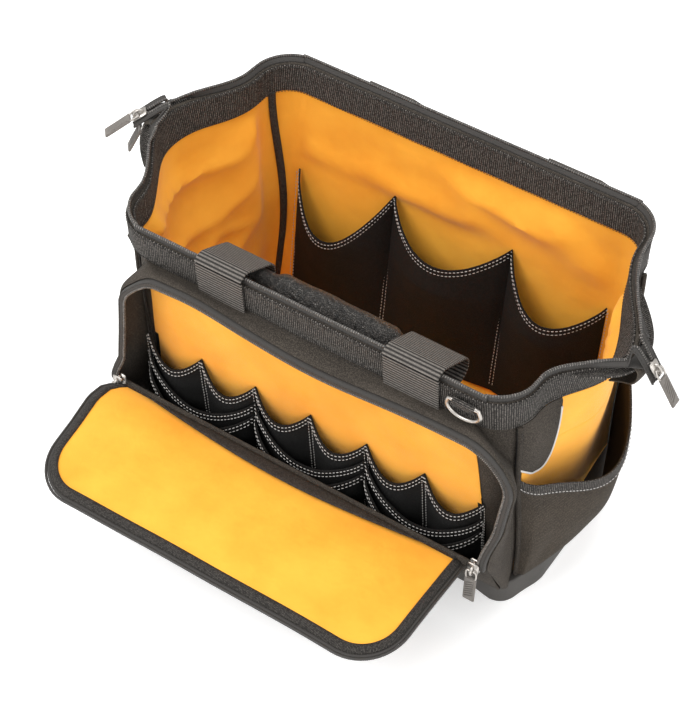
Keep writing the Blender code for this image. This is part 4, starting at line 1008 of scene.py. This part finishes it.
def organiser():
    offset = 0.0016
    for name, loops, peak, droop, bulge, power in ROWS:
        seams = np.linspace(-0.186, 0.186, loops + 1)
        steps = 96 // loops
        peaks, droops = [peak] * (loops + 1), [droop] * loops
        grid = loop_grid(seams, 0.046, peaks, droops, bulge, power, -1, offset, 0.1, 0.071, steps)
        row_piece(name, name, grid, [k * steps for k in range(loops + 1)])
        offset += 0.0019
    inside = SHELL + 0.001 + 0.0009
    seams, peaks = (-0.176, -0.0635, 0.0695, 0.176), (0.1737, 0.193, 0.192, 0.1756)
    grid = loop_grid(seams, 0.012, peaks, (0.049, 0.027, 0.028), 0.036, 0.8, 1, inside, 0.12, 0.134, 30, 36)
    row_piece("inner_pocket", "inner_back_pockets", grid, [0, 30, 60, 90])


# ---- Flap ----
FLAP_LENGTH, FLAP_HALF, FLAP_R, FLAP_START = 0.130, 0.186, 0.040, 0.003


def flap_place():
    """From the flap's plane, whose x runs towards the bag's left, to the open flap."""
    turn = Matrix.Rotation(-math.radians(6), 4, "X") @ Matrix.Scale(-1, 4, (0, 1, 0)) @ Matrix.Scale(-1, 4, (1, 0, 0))
    return Matrix.Translation((0, float(rim_y(HINGE_Z)), HINGE_Z)) @ turn


def flap_edge():
    """The free edge from the hinge at +X round to the hinge at -X, in the flap's plane, with outward directions."""
    side, far = FLAP_HALF - FLAP_R, FLAP_LENGTH - FLAP_R
    right = [(FLAP_HALF, y, 1.0, 0.0) for y in np.linspace(FLAP_START, far, 14)[:-1]]
    for angle in np.linspace(0, math.pi / 2, 15):
        c, s = math.cos(angle), math.sin(angle)
        right.append((side + FLAP_R * c, far + FLAP_R * s, c, s))
    middle = [(x, FLAP_LENGTH, 0.0, 1.0) for x in np.linspace(side, -side, 51)[1:-1]]
    return np.array(right + middle + [(-x, y, -nx, ny) for x, y, nx, ny in reversed(right)])


def flap_bend(points):
    """The soft flap sags a little between its stiff edges and droops at its far corners."""
    points = np.asarray(points, float).copy()
    x, y = points[..., 0] / FLAP_HALF, points[..., 1] / FLAP_LENGTH
    points[..., 2] += 0.0035 * np.cos(x * math.pi / 2 * 0.9) * np.sin(np.clip(y, 0, 1) * math.pi)
    points[..., 2] -= (0.004 * x**4 + 0.005) * np.clip(y, 0, 1.1) ** 2
    points[..., 1] += 0.0105 * np.clip(y, 0, 1.1) ** 1.5
    spread = np.interp(y, (0, 0.04, 0.12, 0.25, 0.5, 1), (0, 0.009, 0.017, 0.018, 0.011, 0.001))
    points[..., 0] += spread * fade(x, 0.3, 1)
    points[..., 2] += 0.0015 * noise_at(points * [1, 1, 0], 0.09, 31) * fade(y, 0.05, 0.3)
    place = np.array(flap_place())
    return points @ place[:3, :3].T + place[:3, 3]


def flap_line(out, height):
    """A line along the flap's free edge, this far outside it."""
    x, y, nx, ny = flap_edge().T
    return flap_bend(xyz(x + nx * out, y + ny * out, height))


def flap_sheets(total):
    """The padded back of the flap and the lining on it."""
    span = np.linspace(-1, 1, 73)
    for name, node, z, thick, look, slot in (
        ("flap_lining_cloth", "flap_lining", total / 2, LINING_SKIN, "lining", "lining_fabric"),
        ("flap_back_cloth", "flap_panel", -total / 2, 0.0026, "shell", "shell_fabric"),
    ):
        rows = []
        for y in np.linspace(FLAP_START, FLAP_LENGTH, 31):
            over = max(y - (FLAP_LENGTH - FLAP_R), 0)
            half = FLAP_HALF - FLAP_R + math.sqrt(max(FLAP_R**2 - over**2, 0))
            share = min(max((y - FLAP_START) / (FLAP_LENGTH - FLAP_START), 0), 1)
            swell = 0.0028 * (1 - span**6) * math.sin(math.pi * share) ** 0.5
            rows.append(xyz(span * half, y, z + (swell if look == "lining" else -0.4 * swell)))
        grid = flap_bend(np.array(rows))
        mesh = cloth(name, grid if look == "lining" else grid[::-1], thick, look)
        hand_over(name, mesh, "flap", [node])


def flap_binding(total):
    """The binding with its seams, the zip's half outside it, and the strip over the hinge."""
    inner = total / 2 + GAP
    outer = inner + 0.0014
    lip = 0.006
    top = [(-lip, inner - 0.0002), (-lip, outer), (-lip / 2, outer + 0.0004), (-0.001, outer), (0.0015, outer * 0.6)]
    profile = [(0.0019, 0.0)] + [(out, -h) for out, h in reversed(top)]
    rows = [flap_line(out, h) for out, h in top + profile]
    bind = cloth("flap_binding_tape", rows[::-1], 0.0009, "binding", round_edge=False)
    rows = [flap_line(out, 0.0006) for out in np.linspace(0.0015, 0.0042, 4)]
    tape = cloth("flap_zip", rows[::-1], 0.0012, "tape", round_edge=False)
    teeth = coil("flap_coil", flap_line(0.0056, 0), 0.0013, 0.0018, 0.0010, "board")
    sewn = dark_stitches("flap_seam", [flap_line(0.0018 - lip, h * (outer + 0.0004)) for h in (1, -1)])
    span = np.linspace(-0.98, 0.98, 61) * FLAP_HALF
    sag = 0.013 * (1 - (span / FLAP_HALF) ** 2) ** 1.5
    lift = (0, -outer), (0, 0), (0.3, 0.0010), (0.6, 0.0016), (1, 0.0020), (1.3, 0.0018)
    strip = [xyz(span, 0.0035 + sag * share, outer + z + 0.0012 * share) for share, z in lift]
    hinge = cloth("flap_hinge_tape", flap_bend(np.array(strip)), THIN, "binding", round_edge=False)
    mesh = joined("flap_binding", bind, tape, *teeth, sewn, hinge)
    hand_over("flap_binding_tape", mesh, "flap", ["flap_binding"])


def flap():
    total = 0.0026 + GAP + LINING_SKIN
    flap_sheets(total)
    flap_binding(total)


# ---- Side pockets ----
SIDE_BULGE = {-1: 0.014, 1: 0.032}
COVER_EDGE = (
    *((-0.125, 0.199), (-0.112, 0.188), (-0.096, 0.176), (-0.080, 0.171)),
    *((-0.072, 0.180), (-0.068, 0.197), (-0.066, 0.220), (-0.0655, 0.246)),
)


def side_lining(side, sx):
    """The lining behind a side pocket. A black pouch hangs over its upper part, down to a curved grey edge."""
    inside = np.linspace(-1.17, 0.93, 49)
    rows = [end_wrap(t, inside, sx, 0.0014) for t in levels(level(POCKET_FOOT), level(0.196), 30)]
    sheet = cloth(f"{side}_side_lining", rows, LINING_SKIN, "lining", sx)
    part, low = smooth_path(COVER_EDGE, 45).T * [[10], [1 / MOUTH_Z]]
    drop = []
    for s in np.linspace(0, 1, 9):
        bulge = 0.0034 + 0.006 * math.sin(math.pi * s) * np.sin((part - FRONT_SEAM) / 0.6 * math.pi) - 0.0012 * s**4
        drop.append(end_wrap(lerp(low, HEM_T - 0.001, s), part, sx, bulge))
    cover = cloth(f"{side}_cover", drop, THIN, "shell", sx)
    edge = tube_mesh(f"{side}_edge", drop[0][::sx], 0.0011, "edge", 6)
    mesh = joined("side_lining", sheet, cover, edge)
    hand_over(f"{side}_side_lining_cloth", mesh, "bag", [f"{side}_side_lining"])


def side_pocket(side, sx):
    """A slip pocket that bellies out, with a webbing hem and one row of light stitches."""
    low, high = FRONT_SEAM, 0.949
    place = np.linspace(low, high, 57)
    swell = np.sin((place - low) / (high - low) * math.pi)
    crest = 0.180 - 0.034 * swell**0.7 - 0.009 * fade(place, -0.9, -0.2) + 0.012 * fade(place, -0.2, high)
    rows = []
    for i in range(31):
        z = lerp(POCKET_FOOT, crest, i / 30)
        rise = np.clip((z - POCKET_FOOT) / (0.135 - POCKET_FOOT), 0, 1)
        growth = lerp(0.72, 1, rise**0.65) + 0.22 * np.sin(rise * math.pi)
        row = end_wrap(level(z), place, sx, 0.0035 + SIDE_BULGE[sx] * swell * growth)
        pleat = 0.006 * np.exp(-(((place + 0.75) / 0.12) ** 2)) * (1 - i / 30) ** 2 * min(i / 6, 1)
        row[:, 0] -= sx * pleat
        row[:, 0] += sx * 0.0018 * noise_at(row, 0.05, 41) * swell * min(i / 8, 1)
        rows.append(row)
    body = cloth(f"{side}_side_pocket", rows, CLOTH, "side", sx)
    top = rows[-1]
    rows = [top + [sx * 0.0008, 0, -drop] for drop in (0.013, 0.009, 0.005, 0.001, -0.0008)]
    hem = cloth(f"{side}_pocket_hem", rows, 0.0014, "web", sx)
    sewn = stitches(f"{side}_hem_stitches", [top + [sx * 0.0016, 0, -0.0105]])
    mesh = joined("side_pocket", body, hem, sewn)
    hand_over(f"{side}_side_pocket_cloth", mesh, "bag", [f"{side}_side_pocket"])


# ---- Handles ----
FRONT_GRIP, BACK_GRIP = (0.030, -0.018), (0.022, -0.045)
SHIFT, SPACING = 0.015, 0.192924


def tangent(dy, dz, r0, r1):
    """The angle at which webbing leaves a round of radius r0 for one of r1 at (dy, dz)."""
    return math.atan2(dz, dy) + math.acos((r0 - r1) / math.hypot(dy, dz))


def arc(cy, cz, radius, start, end, steps):
    return [(cy + radius * math.cos(a), cz + radius * math.sin(a)) for a in np.linspace(start, end, steps + 1)]


def strap_mesh(name, path, thick=0.002, look="strap", width=0.060):
    """Webbing along a smooth path of (y, z) at x = 0, with ribs across it."""
    path = smooth_path(path, max(len(path) * 5, 24))
    along = np.gradient(path, axis=0)
    along /= np.linalg.norm(along, axis=1)[:, None]
    normal = np.stack([-along[:, 1], along[:, 0]], axis=1)
    face, thread = path + normal * thick / 2, path + normal * (thick / 2 + 0.0003)
    rows = [xyz(s * width / 2, face[:, 0], face[:, 1]) for s in np.linspace(-1, 1, 13)]
    seams = [xyz(s * (width / 2 - 0.003), thread[:, 0], thread[:, 1]) for s in (-1, 1)]
    return joined(name, cloth(name, rows, thick, look), dark_stitches(name, seams))


def moved(mesh, x, y=0.0, z=0.0):
    mesh.transform(Matrix.Translation((x, y, z)))
    return mesh


def grip(name, node, body, centre):
    """A padded leather sleeve with creases, tapering into the webs at its ends."""
    half, rows = 0.088, []
    turn = np.linspace(0, 2 * math.pi, 33)[:-1]
    for x in np.linspace(-half, half, 120):
        share = min(max((half - 0.020 - abs(x)) / 0.012, 0), 1)
        radius = lerp(0.0093, 0.0138, share * share * (3 - 2 * share))
        ring = xyz(x, radius * np.cos(turn), radius * np.sin(turn))
        dents = 0.0009 * noise_at(ring, 0.016, 51, (0.7, 1, 1))
        dents = dents - 0.0006 * np.abs(noise_at(ring, 0.007, 52, (2.5, 1, 1)))
        ring[:, 1:] *= (1 + (dents / radius * (0.3 + 0.7 * share)))[:, None]
        rows.append(ring)
    seam = xyz(np.linspace(-0.05, 0.05, 60), 0.0137 * math.cos(-2.2), 0.0137 * math.sin(-2.2))
    mesh = joined(name, capped(name, rows, "leather"), dark_stitches(name, [seam]))
    hand_over(name, moved(mesh, *centre), body, [node])


def handles():
    half = 0.001
    sleeve = 0.0095 + GAP + half
    axis_y, axis_z = -(half_depth(1) - SHELL / 2), edge_z(-1)
    radius = 0.0083 + GAP + half
    lift = tangent(*FRONT_GRIP, radius, sleeve)
    last = math.radians(-100)
    front_web = arc(0, 0, radius, math.radians(136), lift, 8) + arc(*FRONT_GRIP, sleeve, lift, last, 12)
    strap_y = -(half_depth(1) + WEB + GAP * 2 + half)
    foot = HEM_T * axis_z + 0.0003
    front_strap = [(strap_y + half_depth(1) - half_depth(HEM_T), foot), (strap_y + 0.0008, lerp(foot, axis_z, 0.5))]
    front_strap += [(strap_y, axis_z), (strap_y + 0.0001, axis_z + 0.0055)]
    back_y = half_depth(1, 1) + WEB + GAP * 2 + 0.002 + 0.0015
    back_z = edge_z(1)
    rise = tangent(*BACK_GRIP, 0, sleeve)
    back_web = arc(*BACK_GRIP, sleeve, rise, last, 12)
    y, z = back_web[0]
    upright = rise + math.pi / 2
    back_web = [(half * math.cos(upright), half * math.sin(upright) - 0.003), (0.4 * y, 0.4 * z - 0.002)] + back_web
    hem_z = HEM_T * back_z
    under = GAP + half
    out = half_depth(1, 1) + WEB + GAP + under
    back_strap = [(half_depth(level(z, 1), 1) + under, z) for z in np.linspace(POCKET_FOOT, hem_z - 0.006, 8)]
    back_strap += [(half_depth(level(hem_z + 0.002, 1), 1) + WEB + GAP + under, hem_z + 0.002), (out, back_z - 0.003)]
    for side, sx, width, shift in (("left", -1, 0.050, -0.005), ("right", 1, 0.056, 0.002)):
        x = SHIFT + sx * SPACING / 2 + shift
        for name, path, y, z, body in (
            (f"front_handle_strap_{side}", front_strap, 0, 0, "bag"),
            (f"front_handle_web_{side}", front_web, axis_y, axis_z, "front_handle"),
            (f"back_handle_strap_{side}", back_strap, 0, 0, "bag"),
            (f"back_handle_web_{side}", back_web, back_y, back_z, "back_handle"),
        ):
            mesh = moved(strap_mesh(name, path, width=width), x, y, z)
            if name.startswith("back_handle_strap"):
                for vertex in mesh.vertices:
                    vertex.co.y += float(relief(np.array([vertex.co]))[0]) + 0.0003
            hand_over(name + "_webbing", mesh, body, [name])
    grip("front_grip_sleeve", "front_handle_grip", "front_handle", (SHIFT, axis_y + 0.026, axis_z - 0.0165))
    grip("back_grip_sleeve", "back_handle_grip", "back_handle", (SHIFT, back_y + BACK_GRIP[0], back_z + BACK_GRIP[1]))


# ---- Rings, sliders and pulls ----
def d_rings():
    wire, wide, high = 0.002, 0.037, 0.022
    for name, sy in FACES:
        sx, z = -sy, edge_z(sy) - 0.006
        out = half_depth(z / edge_z(sy), sy) + WEB + GAP * 3 + 0.002 + wire
        pivot = np.array([sx * 0.16696, sy * out, z])
        bar, deep = wide / 2 - wire, high - 2 * wire
        angle = np.linspace(0, math.pi, 25)
        bow = [(x, 0, 0) for x in np.linspace(-bar + 0.002, bar - 0.002, 6)]
        bow += list(xyz(bar * np.cos(angle), 0, -deep * (0.35 + 0.65 * np.sin(angle))))
        ring = tube_mesh(f"{name}_ring", np.array(bow) + pivot, wire, "nickel", 14, closed=True)
        hand_over(f"{name}_ring_wire", ring, f"{name}_ring", [f"{name}_d_ring"])
        inner = wire + GAP + 0.001
        path = [(-inner, -0.008), (-inner, 0.0)] + arc(0, 0, inner, math.pi, 0, 8)[1:]
        path += [(inner, -wire), (inner * 0.55, -0.0055), (inner * 0.3, -0.0085)]
        mesh = strap_mesh(f"{name}_ring_loop", [(sy * y, z) for y, z in path][::-sy], 0.0018, "web", 0.022)
        hand_over(f"{name}_ring_loop", moved(mesh, *pivot), "bag", [f"{name}_d_ring_loop"])


SLIDER_GAP, SLIDER_PLATE = 0.0019, 0.0015


def slider_mesh():
    """The slider at the origin: length along X, crown towards +Z, with rounded plates, flanges and a crown."""
    bm = bmesh.new()
    outline = ((-0.008, 0.0045), (-0.0068, 0.0058), (-0.003, 0.0060), (0.002, 0.0052), (0.006, 0.0047))
    outline += ((0.0078, 0.0036), (0.008, 0.0025))
    ring = [(x, -h) for x, h in outline] + [(x, h) for x, h in reversed(outline)]
    top = SLIDER_GAP + SLIDER_PLATE
    for sign in (-1, 1):
        low = [bm.verts.new((x, y, sign * SLIDER_GAP)) for x, y in ring]
        high = [bm.verts.new((x * 0.97, y * 0.93, sign * top)) for x, y in ring]
        bm.faces.new(low)
        bm.faces.new(high)
        for k in range(len(ring)):
            m = (k + 1) % len(ring)
            bm.faces.new((low[k], low[m], high[m], high[k]))
    block(bm, (0.005, 0.0018, SLIDER_GAP * 2 + 0.001), (-0.005, 0, 0))
    bmesh.ops.recalc_face_normals(bm, faces=bm.faces)
    bmesh.ops.bevel(bm, geom=list(bm.edges), offset=0.0003, segments=2, affect="EDGES", clamp_overlap=True)
    mesh = settled(bm, bpy.data.meshes.new("slider"), "nickel")
    bow = [(-0.005, 0, top - 0.0007)]
    bow += [(x, 0, top + 0.0005 + z * 0.72) for x, z in arc(0, 0, 0.005, math.pi, 0, 14)]
    bow += [(0.005, 0, top - 0.0007)]
    crown = tube_mesh("crown", bow, 0.0012, "nickel", 10)
    return joined("slider", mesh, crown)


def pull_mesh():
    """The pull lying along +X from its bar: a wire eye, then a moulded tongue with slanted ribs."""
    eye = [(0, -0.0042), (0, 0.0042), (0.0015, 0.0050), (0.0090, 0.0046), (0.0100, 0.0030)]
    eye += [(x, -y) for x, y in eye[:1:-1]] + eye[:1]
    wire = smooth_path([(x, y, 0) for x, y in eye], 40)[:-1]
    wire = tube_mesh("pull_eye", wire, 0.0009, "nickel", 8, closed=True)
    bm = bmesh.new()
    block(bm, (0.0305, 0.0118, 0.0026), (0.0238, 0, 0))
    bmesh.ops.bevel(bm, geom=list(bm.edges), offset=0.0008, segments=3, affect="EDGES", clamp_overlap=True)
    for side in (-1, 1):
        for k in range(7):
            block(bm, (0.0012, 0.0092, 0.0010), (0.0145 + k * 0.0030, 0, side * 0.0014), math.radians(28))
    mesh = settled(bm, bpy.data.meshes.new("pull"), "pull")
    mesh.set_sharp_from_angle(angle=math.radians(40))
    return joined("pull", wire, mesh)


def oriented(mesh, place, along, crown):
    width = crown.cross(along)
    matrix = Matrix((along, width, crown)).transposed().to_4x4()
    matrix.translation = place
    copy = mesh.copy()
    copy.transform(matrix)
    return copy


def zip_hardware():
    slider, pull = slider_mesh(), pull_mesh()
    lift = SLIDER_GAP + SLIDER_PLATE + SLIDER_GAP

    def add_slider(side, zip_name, body, place, along, crown):
        mesh = oriented(slider, place, along, crown)
        hand_over(f"{side}_{zip_name}_slider_body", mesh, body, [f"{zip_name}_slider_{side}"])

    def add_pull(name, node, body, place, along, crown, swing=0.0):
        turned = along * math.cos(swing) + crown * math.sin(swing)
        width = crown.cross(along)
        mesh = oriented(pull, place + crown * lift, turned, turned.cross(width))
        hand_over(name, mesh, body, [node])

    for side, body in (("left", "left_upper_mouth_pull"), ("right", "right_mouth_pull")):
        root, along, width, crown = tip_frame(side)
        at = root + along * (0.008 + 0.0015), along
        add_slider(side, "mouth", "bag", *at, crown)
        add_pull(f"{side}_mouth_pull_tongue", f"mouth_pull_{side}", body, *at, crown)
        if side == "left":
            names = "left_lower_pull_tongue", "mouth_pull_left_lower", "left_lower_mouth_pull"
            add_pull(*names, *at, -crown, math.radians(28))
    low, high = HINGE_Z, POCKET_TOP - POCKET_R
    run = Vector((0, float(rim_y(high) - rim_y(low)), high - low)).normalized()
    crown = Vector((0, -run.z, run.y))
    for side, sx in SIDES:
        centre = Vector((sx * 0.1994, float(rim_y(low)), low))
        names = f"{side}_pocket_pull_tongue", f"pocket_pull_{side}", f"{side}_pocket_pull"
        add_slider(side, "pocket", f"{side}_pocket_slider", centre, -run, crown)
        add_pull(*names, centre, -run, crown)


# ---- Studio ----
def studio():
    """A pale floor, soft light and the photograph's viewpoint."""
    mesh = bpy.data.meshes.new("floor")
    size = 12
    mesh.from_pydata([(-size, -size, 0), (size, -size, 0), (size, size, 0), (-size, size, 0)], [], [(0, 1, 2, 3)])
    floor = in_scene("floor", mesh)
    pale = Look("pale_floor", 0.9)
    pale.set({"Base Color": (0.90, 0.90, 0.90, 1), "Emission Color": (1, 1, 1, 1), "Emission Strength": 0.35})
    mesh.materials.append(pale.material)

    world = bpy.data.worlds.new("studio")
    bpy.context.scene.world = world
    world.use_nodes = True
    light = world.node_tree.nodes["Background"].inputs
    light["Color"].default_value, light["Strength"].default_value = (1.0, 0.99, 0.98, 1), 0.95

    for name, place, size, power in (
        ("key", (-0.9, -1.4, 2.2), 1.6, 42),
        ("fill", (1.9, -1.2, 1.4), 1.6, 16),
        ("top", (0.1, 0.4, 2.6), 1.4, 20),
    ):
        lamp = bpy.data.lights.new(name, "AREA")
        lamp.size, lamp.energy = size, power
        obj = in_scene(name, lamp)
        obj.location = place
        obj.rotation_euler = (Vector((0, 0, 0.15)) - Vector(place)).to_track_quat("-Z", "Y").to_euler()

    azimuth, elevation, far = math.radians(33.27), math.radians(47.93), 1.9
    sensor, picture, focal, centre = 36.0, (700, 701), 2010, (378.7, 331.7)
    flat = math.cos(elevation)
    back = Vector((math.sin(azimuth) * flat, -math.cos(azimuth) * flat, math.sin(elevation)))
    lens = bpy.data.cameras.new("camera")
    lens.sensor_width, lens.lens = sensor, sensor * focal / max(picture)
    lens.shift_x = (picture[0] / 2 - centre[0]) / max(picture)
    lens.shift_y = (centre[1] - picture[1] / 2) / max(picture)
    camera = in_scene("camera", lens)
    camera.location = Vector((0, 0, 0.150)) + back * far
    camera.rotation_euler = (-back).to_track_quat("-Z", "Y").to_euler()
    bpy.context.scene.camera = camera
    bpy.context.scene.view_settings.view_transform = "Standard"


studio()
tray()
shell()
lining()
hems()
corner_trim()
mouth_zip()
end_tabs()
pocket_gusset()
pocket_zip()
pocket_front()
pocket_back()
organiser()
flap()
for side, sx in SIDES:
    side_lining(side, sx)
    side_pocket(side, sx)
handles()
d_rings()
zip_hardware()
board = bpy.data.objects["stiffener_board"]
board.data.materials.clear()
board.data.materials.append(LOOKS["board"])
